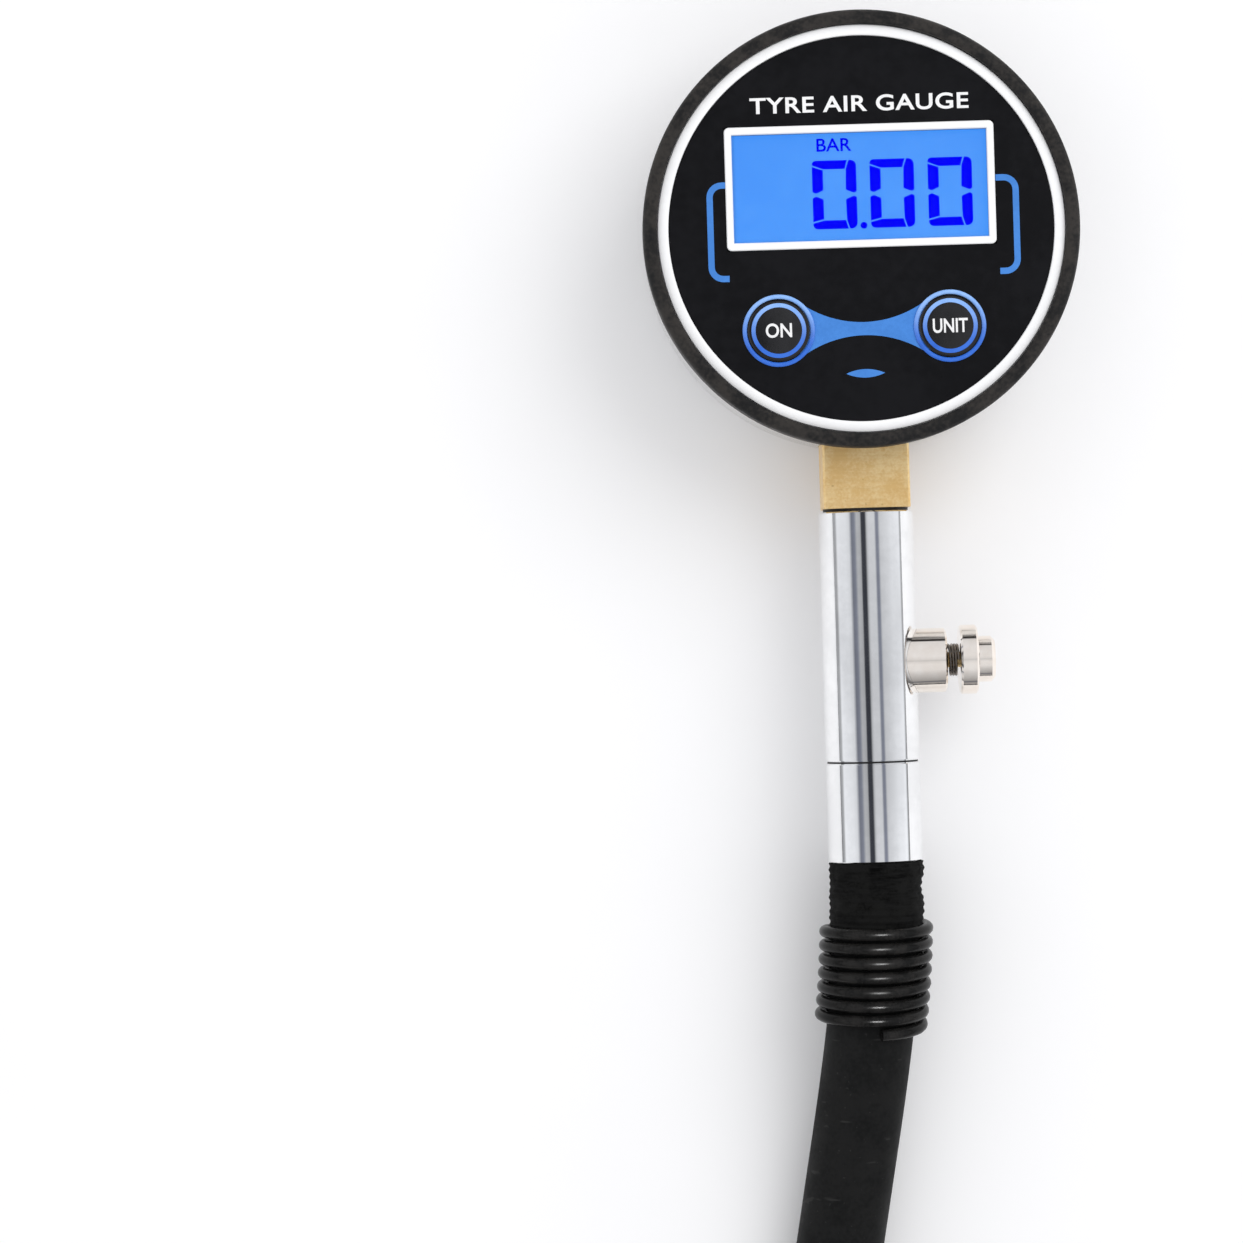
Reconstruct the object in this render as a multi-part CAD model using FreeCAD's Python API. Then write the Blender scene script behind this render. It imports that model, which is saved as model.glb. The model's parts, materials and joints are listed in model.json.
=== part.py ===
import FreeCAD, Part
import math
import os

# Digital tyre pressure gauge on a hose, lying on its back.
# Millimetres. The origin is the middle of the flat back of the case, +Z comes out of the
# display, +Y is the top of the display, and the stem and hose leave along -Y.

V = FreeCAD.Vector
UP = V(0, 0, 1)
DOWN_STEM = V(0, -1, 0)
TO_BLEED = V(1, 0, 0)

# Gauge head
CASE_R = 34.7
CASE_WALL = 0.8
CASE_TOP = 23.0
CASE_CORNER_R = 2.0
CASE_BORE_R = CASE_R - CASE_WALL
BEZEL_R = 35.0
BEZEL_TOP = 29.0
BEZEL_LIP_R = 32.7
BEZEL_LIP_BASE = 27.5
BEZEL_SEAT_R = 33.7
BEZEL_SEAT_Z = 25.2
BEZEL_SKIRT_R = 33.0
BEZEL_SKIRT_Z = 21.2
RING_BASE = 26.25
PLATE_BASE = 25.6
PLATE_TOP = 27.4
FACE_R = 30.75
FACE_TOP = 27.9
FLANGE_R = 33.6

# Display window
WINDOW_Y = 6.8
WINDOW_W = 40.8
WINDOW_H = 17.3
FRAME_W = 43.2
FRAME_H = 19.8
FRAME_TOP = 28.2
LEDGE_Z = 26.7
PANE_W = 42.0
PANE_H = 18.5
PANE_T = 0.6
GLASS_W = 45.0
GLASS_H = 23.0
GLASS_BASE = 23.9
GLASS_T = 1.6
LIGHT_H = 19.0
ZEBRA_W = 40.0

# Keys and their switches
KEY_X = 13.7
KEY_Y = -16.0
KEY_R = 4.95
KEY_HOLE_R = 5.05
KEY_FLANGE_R = 5.6
KEY_POCKET_R = 5.9
KEY_SHOULDER_Z = 26.6
KEY_TOP = 28.75
KEY_EDGE = 28.3
KEY_FOOT_R = 1.5
KEY_FOOT_Z = 24.9
KEY_RING_R = 5.78
KEY_RING_TOP = 28.3
KEY_TRAVEL = 0.5
SWITCH_W = 6.0
SWITCH_H = 1.6
PLUNGER_IN = 0.25

# Board and inner frame
BOARD_R = 31.0
BOARD_BASE = 20.8
BOARD_T = 1.6
BOARD_CUT_Y = -23.5
BOARD_TOP = BOARD_BASE + BOARD_T
POST_PCD_R = 27.5
POST_ANGLES = (90, 210, 330)
POST_R = 2.5
DECK_BASE = 14.2
DECK_T = 1.6
DECK_R = 33.6
DECK_TOP = DECK_BASE + DECK_T

# Battery bay
BAY_Y = 2.0
BAY_W = 52.4
BAY_H = 23.2
TRAY_WALL = 1.0
CELL_R = 5.25
CELL_LENGTH = 44.5
CELL_PITCH = 11.2
CELL_Z = 7.0
CONTACT_T = 0.3
CONTACT_X = BAY_W / 2 - CONTACT_T
COVER_GAP = 0.2
COVER_CORNER_R = 2.5
COVER_H = 24.0
TONGUE_W = 9.0
TONGUE_L = 7.0
TONGUE_T = 1.4
COVER_SCREW_OFFSET = 15.6

# Stem and valve tube, all on one axis
STEM_Z = 14.0
STEM_W = 14.0
STEM_INNER_Y = -24.0
STEM_END_Y = -44.5
WASHER_T = 0.5
TUBE_R = 7.75
TUBE_TOP_Y = STEM_END_Y - WASHER_T
TUBE_END_Y = -85.5
SEAM_T = 0.3
COLLAR_TOP_Y = TUBE_END_Y - SEAM_T
COLLAR_END_Y = -102.0
AIRWAY_R = 1.6
SPIGOT_R = 4.8
SPIGOT_L = 8.0
SOCKET_R = 4.85
TUBE_BORE_R = 3.0
STUD_R = 5.85
STUD_HOLE_R = 5.9
STUD_TOP_Y = -77.0
STUD_END_Y = -97.9
BARB_R = 3.0
SENSOR_R = 5.6
SENSOR_TOP_Y = -21.0
SENSOR_BACK_Y = -19.5
SENSOR_SEAT_Y = -26.0
SENSOR_POCKET_Y = -27.0
STEM_SCREW_X = 4.5
STEM_SCREW_Y = -29.3
LEAD_Z = 16.5

# Bleed valve, distances from the stem axis along +X
BLEED_Y = -69.5
PORT_R = 4.0
SHANK_R = 3.95
SHANK_X = 3.4
HOUSING_R = 5.25
HOUSING_X = 12.4
VALVE_SEAT_X = 6.5
VALVE_SEAT_R = 2.6
SPRING_SEAT_X = 9.5
SPRING_SEAT_R = 2.95
SPINDLE_R = 1.25
SPINDLE_BORE_R = 1.33
SPINDLE_HEAD_X = 4.5
SPINDLE_HEAD_T = 0.8
SPINDLE_END_X = 16.0
SEAL_R = 2.3
BUTTON_X = 14.6
BUTTON_R = 5.65
BUTTON_T = 2.85
TIP_R = 3.75
TIP_X = 20.3
BLEED_TRAVEL = 1.8
BLEED_WIRE = 0.6
BLEED_SPRING_R = 2.4
BLEED_TURNS = 4.25

# Hose
HOSE_R = 7.15
HOSE_BORE_R = 3.25
SLEEVE_R = 7.65
SLEEVE_BORE_R = 7.28
GUARD_R = 9.35
GUARD_WIRE = 1.95
GUARD_LENGTH = 18.2
GUARD_TURNS = 7.6
GUARD_START = 1.5
FERRULE_R = 7.95
HOSE_ROUTE = (
    V(0.0, COLLAR_END_Y, STEM_Z),
    V(0.0, -113.0, 14.0),
    V(-1.6, -131.0, 12.2),
    V(-6.8, -162.0, HOSE_R),
    V(-11.9, -191.1, HOSE_R),
    V(-3.8, -233.1, HOSE_R),
    V(24.2, -265.5, HOSE_R),
    V(64.7, -279.5, HOSE_R),
    V(106.7, -271.4, HOSE_R),
    V(139.0, -243.4, 7.4),
    V(153.0, -202.9, FERRULE_R),
    V(144.9, -160.9, FERRULE_R),
)
HOSE_END = HOSE_ROUTE[-1]

# Chuck, distances from the hose end along its axis
FERRULE_L = 14.0
NECK_R = 3.22
NECK_START = 14.3
NECK_BORE_R = 3.3
NUT_R = 7.2
NUT_START = 14.6
NUT_END = 22.0
NIPPLE_HEAD_R = 4.62
NIPPLE_HEAD_START = 19.0
NIPPLE_HEAD_END = 21.5
SPIGOT_THREAD_R = 5.55
NUT_SOCKET_R = 5.6
NUT_SHOULDER = 18.9
POCKET_R = 4.7
POCKET_END = 23.3
ELBOW = 30.0
HEAD_ANGLE = -45.0
HEAD_R = 7.9
HEAD_L = 20.0
MOUTH_R = 4.1
MOUTH_DEPTH = 8.0
GROMMET_T = 3.0
GROMMET_R = 5.2
GROMMET_BORE_R = 2.3
PIN_R = 1.0


def pointing(direction, base):
    """Placement that sends local +Z to a direction and the local origin to a point."""
    return FreeCAD.Placement(base, FreeCAD.Rotation(UP, direction))


def turned(outline, base=V(0, 0, 0), direction=UP):
    """Solid of revolution from (radius, distance along the axis) points.

    A point given as (radius, distance, mid_radius, mid_distance) is reached by an arc
    through the mid point instead of a straight line.
    """
    edges = []
    start = V(outline[0][0], 0, outline[0][1])
    first = start
    for point in list(outline[1:]) + [outline[0][:2]]:
        end = V(point[0], 0, point[1])
        if (end - start).Length < 1e-6:
            continue
        if len(point) == 4:
            edges.append(Part.Arc(start, V(point[2], 0, point[3]), end).toShape())
        else:
            edges.append(Part.LineSegment(start, end).toShape())
        start = end
    if (start - first).Length > 1e-6:
        edges.append(Part.LineSegment(start, first).toShape())
    solid = Part.Face(Part.Wire(edges)).revolve(V(0, 0, 0), UP, 360)
    solid.Placement = pointing(direction, base)
    return solid


def cap(radius, edge, top):
    """Outline point on the axis, reached by the arc of a shallow spherical cap."""
    rise = top - edge
    sphere_r = (radius ** 2 + rise ** 2) / (2 * rise)
    middle = radius / 2
    return 0, top, middle, top - sphere_r + math.sqrt(sphere_r ** 2 - middle ** 2)


def rod(radius, start, end, base=V(0, 0, 0), direction=UP):
    """Round bar along a direction, between two distances from the base point."""
    return Part.makeCylinder(radius, end - start, base + direction * start, direction)


def washer(outer, inner, start, end, base=V(0, 0, 0), direction=UP):
    """Flat ring or sleeve between two distances from the base point."""
    ring = rod(outer, start, end, base, direction)
    return ring.cut(rod(inner, start, end, base, direction))


def block(width, height, low, high, x=0.0, y=0.0):
    """Rectangular block centred on x and y, between two levels of z."""
    return Part.makeBox(width, height, high - low, V(x - width / 2, y - height / 2, low))


def rounded_block(width, height, low, high, radius, y=0.0):
    """Block centred on x = 0 whose upright edges are rounded."""
    solid = block(width, height, low, high, 0.0, y)
    upright = [e for e in solid.Edges if abs(e.tangentAt(e.FirstParameter).z) > 0.99]
    return solid.makeFillet(radius, upright)


def torus(major, minor, distance, base, direction):
    """Ring of round section at a distance along the axis."""
    return Part.makeTorus(major, minor, base + direction * distance, direction)


def coil(mean_r, wire, turns, length, base, direction):
    """Coil spring whose overall length, wire included, starts at the base point."""
    rise = length - wire
    helix = Part.makeHelix(rise / turns, rise, mean_r)
    section = Part.Wire([Part.makeCircle(wire / 2, V(mean_r, 0, 0), V(0, 1, 0))])
    spring = Part.Wire(helix.Edges).makePipeShell([section], True, True)
    spring.Placement = pointing(direction, base + direction * (wire / 2))
    return spring


def countersunk_screw(head_r, shank_r, head_h, length, x, y):
    """Cross-recess screw put in from the back, with its head flush at z = 0."""
    screw = turned([(0, 0), (head_r, 0), (shank_r, head_h), (shank_r, length - 0.6), (0, length)])
    slot_w = head_r * 0.24
    for slot in (block(head_r * 1.1, slot_w, 0, 0.6), block(slot_w, head_r * 1.1, 0, 0.6)):
        screw = screw.cut(slot)
    screw.translate(V(x, y, 0))
    return screw


def countersink(head_r, shank_r, head_h, depth, x, y, gap=0.05):
    """Clearance for a countersunk screw, cut from z = 0 upwards."""
    hole = turned([(0, 0), (head_r + gap, 0), (shank_r + gap, head_h), (shank_r + gap, depth), (0, depth)])
    hole.translate(V(x, y, 0))
    return hole


STEM_AXIS = V(0, 0, STEM_Z)
BLEED_BASE = V(0, BLEED_Y, STEM_Z)
KEYS = {"on": -KEY_X, "mode": KEY_X}
CELL_Y = {"upper": BAY_Y + CELL_PITCH / 2, "lower": BAY_Y - CELL_PITCH / 2}
COVER_SCREWS_Y = (BAY_Y - COVER_SCREW_OFFSET, BAY_Y + COVER_SCREW_OFFSET)
STEM_SCREW = dict(head_r=2.2, shank_r=1.2, head_h=1.2)
COVER_SCREW = dict(head_r=1.9, shank_r=0.95, head_h=1.1)


def post_places():
    """Places of the three posts that carry the board."""
    angles = [math.radians(a) for a in POST_ANGLES]
    return [(POST_PCD_R * math.cos(a), POST_PCD_R * math.sin(a)) for a in angles]


# ---------------------------------------------------------------- gauge head


def cover_shape(gap, low, high, tongue_high):
    """Battery cover with a screw tongue above and below, grown by a gap all round."""
    plate = rounded_block(BAY_W - 0.4 + 2 * gap, COVER_H + 2 * gap, low, high, COVER_CORNER_R, BAY_Y)
    length = COVER_H + 2 * TONGUE_L + 2 * gap
    tongues = rounded_block(TONGUE_W + 2 * gap, length, low, tongue_high, COVER_CORNER_R, BAY_Y)
    return plate.fuse(tongues)


def gauge_case():
    """Spun steel can, open at the front, with the battery opening and the stem hole."""
    corner = CASE_CORNER_R
    mid = corner * (1 - math.sqrt(0.5))
    inner = corner - CASE_WALL
    inner_mid = inner * (1 - math.sqrt(0.5))
    can = turned([
        (0, 0),
        (CASE_R - corner, 0),
        (CASE_R, corner, CASE_R - mid, mid),
        (CASE_R, CASE_TOP),
        (CASE_BORE_R, CASE_TOP),
        (CASE_BORE_R, corner),
        (CASE_BORE_R - inner, CASE_WALL, CASE_BORE_R - inner_mid, CASE_WALL + inner_mid),
        (0, CASE_WALL),
    ])
    can = can.cut(cover_shape(COVER_GAP, 0, CASE_WALL, CASE_WALL))
    hole = STEM_W + 0.3
    can = can.cut(Part.makeBox(hole, CASE_R, hole, V(-hole / 2, -2 * CASE_R + 5, STEM_Z - hole / 2)))
    for side in (-1, 1):
        can = can.cut(countersink(**STEM_SCREW, depth=3, x=side * STEM_SCREW_X, y=STEM_SCREW_Y))
    return can


def bezel_ring():
    """Black ring on the rim of the can, with a skirt inside and a lip over the dial ring."""
    return turned([
        (BEZEL_SKIRT_R, BEZEL_SKIRT_Z),
        (CASE_BORE_R - 0.05, BEZEL_SKIRT_Z),
        (CASE_BORE_R - 0.05, CASE_TOP),
        (BEZEL_R, CASE_TOP),
        (BEZEL_R, BEZEL_TOP - 1.0),
        (BEZEL_R - 1.0, BEZEL_TOP, BEZEL_R - 0.3, BEZEL_TOP - 0.3),
        (BEZEL_LIP_R + 0.4, BEZEL_TOP),
        (BEZEL_LIP_R, BEZEL_TOP - 0.4),
        (BEZEL_LIP_R, BEZEL_LIP_BASE),
        (BEZEL_SEAT_R, BEZEL_LIP_BASE),
        (BEZEL_SEAT_R, BEZEL_SEAT_Z),
        (BEZEL_SKIRT_R, BEZEL_SEAT_Z),
    ])


def dial_ring():
    """White ring between the face and the bezel, domed, with its inner edge highest."""
    inner = FACE_R + 0.1
    edge = BEZEL_LIP_R - 0.05
    return turned([
        (inner, RING_BASE),
        (FLANGE_R, RING_BASE),
        (FLANGE_R, BEZEL_LIP_BASE - 0.05),
        (edge, BEZEL_LIP_BASE - 0.05),
        (inner + 0.2, FACE_TOP + 0.5, inner + 1.1, FACE_TOP + 0.3),
        (inner, FACE_TOP + 0.35),
    ])


def key_openings(low, high, radius):
    """Round cutters at both keys."""
    return Part.makeCompound([rod(radius, low, high, V(x, KEY_Y, 0)) for x in KEYS.values()])


def face_plate():
    """Moulded plate behind the face, with the window ledge and the key pockets."""
    plate = turned([
        (0, PLATE_BASE),
        (29.5, PLATE_BASE),
        (29.5, BEZEL_SEAT_Z),
        (FLANGE_R, BEZEL_SEAT_Z),
        (FLANGE_R, RING_BASE - 0.05),
        (FACE_R, RING_BASE - 0.05),
        (FACE_R, PLATE_TOP),
        (0, PLATE_TOP),
    ])
    plate = plate.cut(block(WINDOW_W + 0.2, WINDOW_H + 0.2, PLATE_BASE, PLATE_TOP, 0, WINDOW_Y))
    plate = plate.cut(block(FRAME_W, FRAME_H, LEDGE_Z, PLATE_TOP, 0, WINDOW_Y))
    plate = plate.cut(key_openings(PLATE_BASE, KEY_SHOULDER_Z, KEY_POCKET_R))
    return plate.cut(key_openings(PLATE_BASE, PLATE_TOP, KEY_HOLE_R))


def face_overlay():
    """Black face sheet with openings for the window frame and the keys."""
    sheet = rod(FACE_R, PLATE_TOP, FACE_TOP)
    sheet = sheet.cut(block(FRAME_W, FRAME_H, PLATE_TOP, FACE_TOP, 0, WINDOW_Y))
    return sheet.cut(key_openings(PLATE_TOP, FACE_TOP, KEY_HOLE_R))


def window_frame():
    """White frame with a rebate that holds the clear pane down on its ledge."""
    frame = rounded_block(FRAME_W - 0.1, FRAME_H - 0.1, LEDGE_Z, FRAME_TOP, 0.8, WINDOW_Y)
    frame = frame.cut(block(WINDOW_W, WINDOW_H, LEDGE_Z, FRAME_TOP, 0, WINDOW_Y))
    rebate_top = LEDGE_Z + PANE_T + 0.02
    frame = frame.cut(block(PANE_W + 0.1, PANE_H + 0.1, LEDGE_Z, rebate_top, 0, WINDOW_Y))
    top = [e for e in frame.Edges if e.BoundBox.ZMin > FRAME_TOP - 0.01]
    return frame.makeChamfer(0.15, top)


def display_window():
    """Clear pane in the window frame."""
    return block(PANE_W, PANE_H, LEDGE_Z, LEDGE_Z + PANE_T, 0, WINDOW_Y)


def lcd_panel():
    """Liquid-crystal glass: a full back plate and a shorter front plate."""
    back = block(GLASS_W, GLASS_H, GLASS_BASE, GLASS_BASE + GLASS_T / 2, 0, WINDOW_Y)
    front_h = GLASS_H - 2.5
    front_y = WINDOW_Y - 1.25
    front = block(GLASS_W, front_h, GLASS_BASE, GLASS_BASE + GLASS_T, 0, front_y)
    return back.fuse(front).removeSplitter()


def backlight_panel():
    """Light guide under the glass."""
    return block(GLASS_W, LIGHT_H, BOARD_TOP, GLASS_BASE, 0, WINDOW_Y - 1.0)


def zebra_strip():
    """Conductive rubber strip from the glass down to the board."""
    return block(ZEBRA_W, 1.6, BOARD_TOP, GLASS_BASE, 0, WINDOW_Y + GLASS_H / 2 - 1.0)


def circuit_board():
    """Round board with a flat beside the stem block and three screw holes."""
    board = rod(BOARD_R, BOARD_BASE, BOARD_TOP)
    board = board.cut(Part.makeBox(80, 40, 4, V(-40, BOARD_CUT_Y - 40, BOARD_BASE - 1)))
    for x, y in post_places():
        board = board.cut(rod(1.1, BOARD_BASE, BOARD_TOP, V(x, y, 0)))
    return board


def control_chip():
    """Processor under the board."""
    chip = block(9, 9, BOARD_BASE - 1.2, BOARD_BASE, -8, 6)
    low = [e for e in chip.Edges if e.BoundBox.ZMax < BOARD_BASE - 1.1]
    return chip.makeChamfer(0.2, low)


def board_screws():
    """Three pan-head screws that hold the board on its posts."""
    screws = []
    for x, y in post_places():
        top = BOARD_TOP
        screw = turned([
            (0, top - 5.5),
            (0.9, top - 5.0),
            (0.9, top),
            (1.9, top),
            (1.9, top + 0.8),
            (1.2, top + 1.3),
            (0, top + 1.3),
        ])
        for slot in (block(2.2, 0.45, top + 0.7, top + 1.4), block(0.45, 2.2, top + 0.7, top + 1.4)):
            screw = screw.cut(slot)
        screw.translate(V(x, y, 0))
        screws.append(screw)
    return Part.makeCompound(screws)


def key(x):
    """Round key with a retaining flange and a foot on its switch."""
    return turned([
        (0, KEY_FOOT_Z),
        (KEY_FOOT_R, KEY_FOOT_Z),
        (KEY_FOOT_R, KEY_SHOULDER_Z - 0.6),
        (KEY_FLANGE_R, KEY_SHOULDER_Z - 0.6),
        (KEY_FLANGE_R, KEY_SHOULDER_Z - 0.05),
        (KEY_R, KEY_SHOULDER_Z - 0.05),
        (KEY_R, KEY_EDGE),
        (KEY_R - 0.25, KEY_EDGE + 0.2),
        cap(KEY_R - 0.25, KEY_EDGE + 0.2, KEY_TOP),
    ], V(x, KEY_Y, 0))


def key_rings():
    """Raised blue ring round each key, rounded on top."""
    inner = KEY_HOLE_R + 0.03
    shoulder = KEY_RING_TOP - 0.15
    rings = []
    for x in KEYS.values():
        rings.append(turned([
            (inner, FACE_TOP),
            (KEY_RING_R, FACE_TOP),
            (KEY_RING_R, shoulder),
            (inner, shoulder, (inner + KEY_RING_R) / 2, KEY_RING_TOP),
        ], V(x, KEY_Y, 0)))
    return Part.makeCompound(rings)


def switch_bodies():
    """Push switch bodies on the board under the keys."""
    bodies = []
    top = BOARD_TOP + SWITCH_H
    for x in KEYS.values():
        body = block(SWITCH_W, SWITCH_W, BOARD_TOP, top, x, KEY_Y)
        pocket = rod(KEY_FOOT_R + 0.08, top - PLUNGER_IN - KEY_TRAVEL - 0.05, top, V(x, KEY_Y, 0))
        bodies.append(body.cut(pocket))
    return Part.makeCompound(bodies)


def switch_plunger(x):
    """Plunger of a push switch, which the key's foot rests on."""
    return rod(KEY_FOOT_R, BOARD_TOP + SWITCH_H - PLUNGER_IN, KEY_FOOT_Z, V(x, KEY_Y, 0))


def inner_frame():
    """Moulding with a deck, board posts, legs, screw bosses and the saddle for the stem."""
    frame = rod(DECK_R, DECK_BASE, DECK_TOP)
    adds = [rod(POST_R, DECK_TOP, BOARD_BASE, V(x, y, 0)) for x, y in post_places()]
    adds += [rod(3.0, CASE_WALL, DECK_BASE, V(x, 20.0, 0)) for x in (-22.0, 22.0)]
    adds += [rod(2.4, TONGUE_T + 0.1, DECK_BASE, V(0, y, 0)) for y in COVER_SCREWS_Y]
    saddle = Part.makeBox(18, 13.5, DECK_BASE - CASE_WALL, V(-9, -31.5, CASE_WALL))
    adds.append(saddle)
    frame = frame.multiFuse(adds).removeSplitter()
    stem_gap = STEM_W + 0.2
    stem_top = STEM_Z + STEM_W
    frame = frame.cut(Part.makeBox(stem_gap, 16, stem_top, V(-stem_gap / 2, -35.4, STEM_Z - STEM_W / 2)))
    frame = frame.cut(Part.makeBox(stem_gap, 4, DECK_T, V(-stem_gap / 2, -38.0, DECK_BASE)))
    for side in (-1, 1):
        frame = frame.cut(countersink(**STEM_SCREW, depth=8, x=side * STEM_SCREW_X, y=STEM_SCREW_Y))
    for x, y in post_places():
        frame = frame.cut(rod(0.95, BOARD_TOP - 6, BOARD_BASE, V(x, y, 0)))
    for y in COVER_SCREWS_Y:
        frame = frame.cut(rod(1.0, 0, 10, V(0, y, 0)))
    for y in CELL_Y.values():
        frame = frame.cut(block(0.7, 2.4, DECK_BASE, DECK_TOP, CONTACT_X + CONTACT_T / 2, y))
    return frame


def battery_tray():
    """Upside-down tray round the two cells."""
    tray = block(BAY_W + 2 * TRAY_WALL, BAY_H + 2 * TRAY_WALL, CASE_WALL, DECK_BASE, 0, BAY_Y)
    tray = tray.cut(block(BAY_W, BAY_H, CASE_WALL, DECK_BASE - TRAY_WALL, 0, BAY_Y))
    for y in CELL_Y.values():
        slot = block(0.7, 2.4, DECK_BASE - TRAY_WALL, DECK_BASE, CONTACT_X + CONTACT_T / 2 - 0.05, y)
        tray = tray.cut(slot)
    return tray


def battery(row, way):
    """Slim round cell along X, whose raised pole points along +X or -X."""
    pole = 0.9
    half = CELL_LENGTH / 2
    return turned([
        (0, -half),
        (CELL_R - 0.3, -half),
        (CELL_R, -half + 0.3),
        (CELL_R, half - pole - 0.3),
        (CELL_R - 0.3, half - pole),
        (1.9, half - pole),
        (1.9, half),
        (0, half),
    ], V(0, CELL_Y[row], CELL_Z), V(way, 0, 0))


def contact(side, row, tab):
    """Stamped contact with a domed finger that reaches the end of a cell."""
    low = CELL_Z - 4.0
    outer_x = side * (CONTACT_X + CONTACT_T / 2)
    y = CELL_Y[row]
    plate = block(CONTACT_T, 9.6, low, CELL_Z + 4.0, outer_x, y)
    reach = CONTACT_X - CELL_LENGTH / 2
    finger = turned([
        (0, 0),
        (2.6, 0),
        (1.4, reach - 0.3),
        cap(1.4, reach - 0.3, reach),
    ], V(side * CONTACT_X, y, CELL_Z), V(-side, 0, 0))
    plate = plate.fuse(finger)
    if tab:
        plate = plate.fuse(block(CONTACT_T, 2.0, CELL_Z + 3.0, BOARD_BASE, outer_x, y))
    return plate


def contact_bridge():
    """Contact that joins the two cells at the left end of the tray."""
    link = block(CONTACT_T, CELL_PITCH, CELL_Z - 2, CELL_Z + 2, -(CONTACT_X + CONTACT_T / 2), BAY_Y)
    return contact(-1, "upper", False).multiFuse([contact(-1, "lower", False), link]).removeSplitter()


def contact_plates():
    """The two end contacts, whose tabs reach the board."""
    return Part.makeCompound([contact(1, row, True) for row in CELL_Y])


def battery_cover():
    """Flush cover in the back of the case, held by a screw in each tongue."""
    cover = cover_shape(0.0, 0, CASE_WALL, CASE_WALL)
    ridge = block(BAY_W - 1.4, BAY_H - 0.6, CASE_WALL, CASE_WALL + 0.6, 0, BAY_Y)
    cover = cover.fuse(ridge)
    tongue_y = BAY_H / 2 + TRAY_WALL + 0.2
    pad_l = COVER_H / 2 + TONGUE_L - tongue_y - 1.5
    for side in (-1, 1):
        y = BAY_Y + side * (tongue_y + pad_l / 2)
        cover = cover.fuse(block(TONGUE_W - 2, pad_l, 0.3, TONGUE_T, 0, y))
    for y in COVER_SCREWS_Y:
        cover = cover.cut(countersink(**COVER_SCREW, depth=3, x=0, y=y))
    for rib in range(-3, 4):
        cover = cover.cut(block(1.0, 10.0, 0, 0.25, rib * 2.4, BAY_Y))
    return cover.removeSplitter()


def battery_cover_screws():
    """Two small countersunk screws in the cover's tongues."""
    screws = [countersunk_screw(**COVER_SCREW, length=9, x=0, y=y) for y in COVER_SCREWS_Y]
    return Part.makeCompound(screws)


def stem_screws():
    """Two countersunk screws from the back of the case into the stem block."""
    places = [side * STEM_SCREW_X for side in (-1, 1)]
    screws = [countersunk_screw(**STEM_SCREW, length=11, x=x, y=STEM_SCREW_Y) for x in places]
    return Part.makeCompound(screws)


def pressure_sensor():
    """Round sensor can in the pocket of the stem block, with a small pressure port."""
    return turned([
        (0.8, SENSOR_SEAT_Y),
        (SENSOR_R, SENSOR_SEAT_Y),
        (SENSOR_R, SENSOR_TOP_Y - 0.4),
        (SENSOR_R - 0.4, SENSOR_TOP_Y),
        (4.6, SENSOR_TOP_Y),
        (4.6, SENSOR_BACK_Y),
        (0, SENSOR_BACK_Y),
        (0, SENSOR_SEAT_Y + 1.5),
        (0.8, SENSOR_SEAT_Y + 1.5),
    ], STEM_AXIS, V(0, 1, 0))


def sensor_o_ring():
    """O-ring squeezed between the sensor and the floor of its pocket."""
    return torus(4.4, 0.5, SENSOR_POCKET_Y + 0.5, STEM_AXIS, V(0, 1, 0))


def sensor_leads():
    """Flat strip of leads from the sensor up to the board."""
    flat = Part.makeBox(4, 2.5, 0.25, V(-2, SENSOR_BACK_Y, LEAD_Z))
    riser = Part.makeBox(4, 0.25, BOARD_BASE - LEAD_Z, V(-2, SENSOR_BACK_Y + 2.25, LEAD_Z))
    return flat.fuse(riser).removeSplitter()


# ---------------------------------------------------------------- stem and bleed valve


def stem_block():
    """Square brass block with the sensor pocket, the airway and a threaded spigot."""
    length = STEM_INNER_Y - STEM_END_Y
    body = Part.makeBox(STEM_W, length, STEM_W, V(-STEM_W / 2, STEM_END_Y, STEM_Z - STEM_W / 2))
    long_edges = [e for e in body.Edges if e.BoundBox.YLength > length - 1]
    body = body.makeChamfer(0.35, long_edges)
    body = body.fuse(rod(SPIGOT_R, -STEM_END_Y - 1, -STEM_END_Y + SPIGOT_L, STEM_AXIS, DOWN_STEM))
    body = body.cut(rod(AIRWAY_R, -STEM_INNER_Y, -STEM_END_Y + SPIGOT_L, STEM_AXIS, DOWN_STEM))
    pocket = rod(SENSOR_R + 0.05, -STEM_INNER_Y, -SENSOR_POCKET_Y, STEM_AXIS, DOWN_STEM)
    body = body.cut(pocket)
    bottom = STEM_Z - STEM_W / 2
    for side in (-1, 1):
        body = body.cut(rod(1.25, bottom, bottom + 4.5, V(side * STEM_SCREW_X, STEM_SCREW_Y, 0)))
    return body


def stem_washer():
    """Black sealing washer between the block and the tube."""
    return washer(6.9, SPIGOT_R + 0.1, -STEM_END_Y, -TUBE_TOP_Y, STEM_AXIS, DOWN_STEM)


def valve_tube():
    """Chrome tube with sockets at both ends and the side port for the bleed valve."""
    top = -TUBE_TOP_Y
    end = -TUBE_END_Y
    tube = turned([
        (SOCKET_R, top),
        (TUBE_R - 0.2, top),
        (TUBE_R, top + 0.2),
        (TUBE_R, end - 0.2),
        (TUBE_R - 0.2, end),
        (STUD_HOLE_R, end),
        (STUD_HOLE_R, -STUD_TOP_Y - 1),
        (TUBE_BORE_R, -STUD_TOP_Y - 1),
        (TUBE_BORE_R, top + SPIGOT_L + 0.5),
        (SOCKET_R, top + SPIGOT_L + 0.5),
    ], STEM_AXIS, DOWN_STEM)
    return tube.cut(rod(PORT_R, 0, TUBE_R + 1, BLEED_BASE, TO_BLEED))


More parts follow.
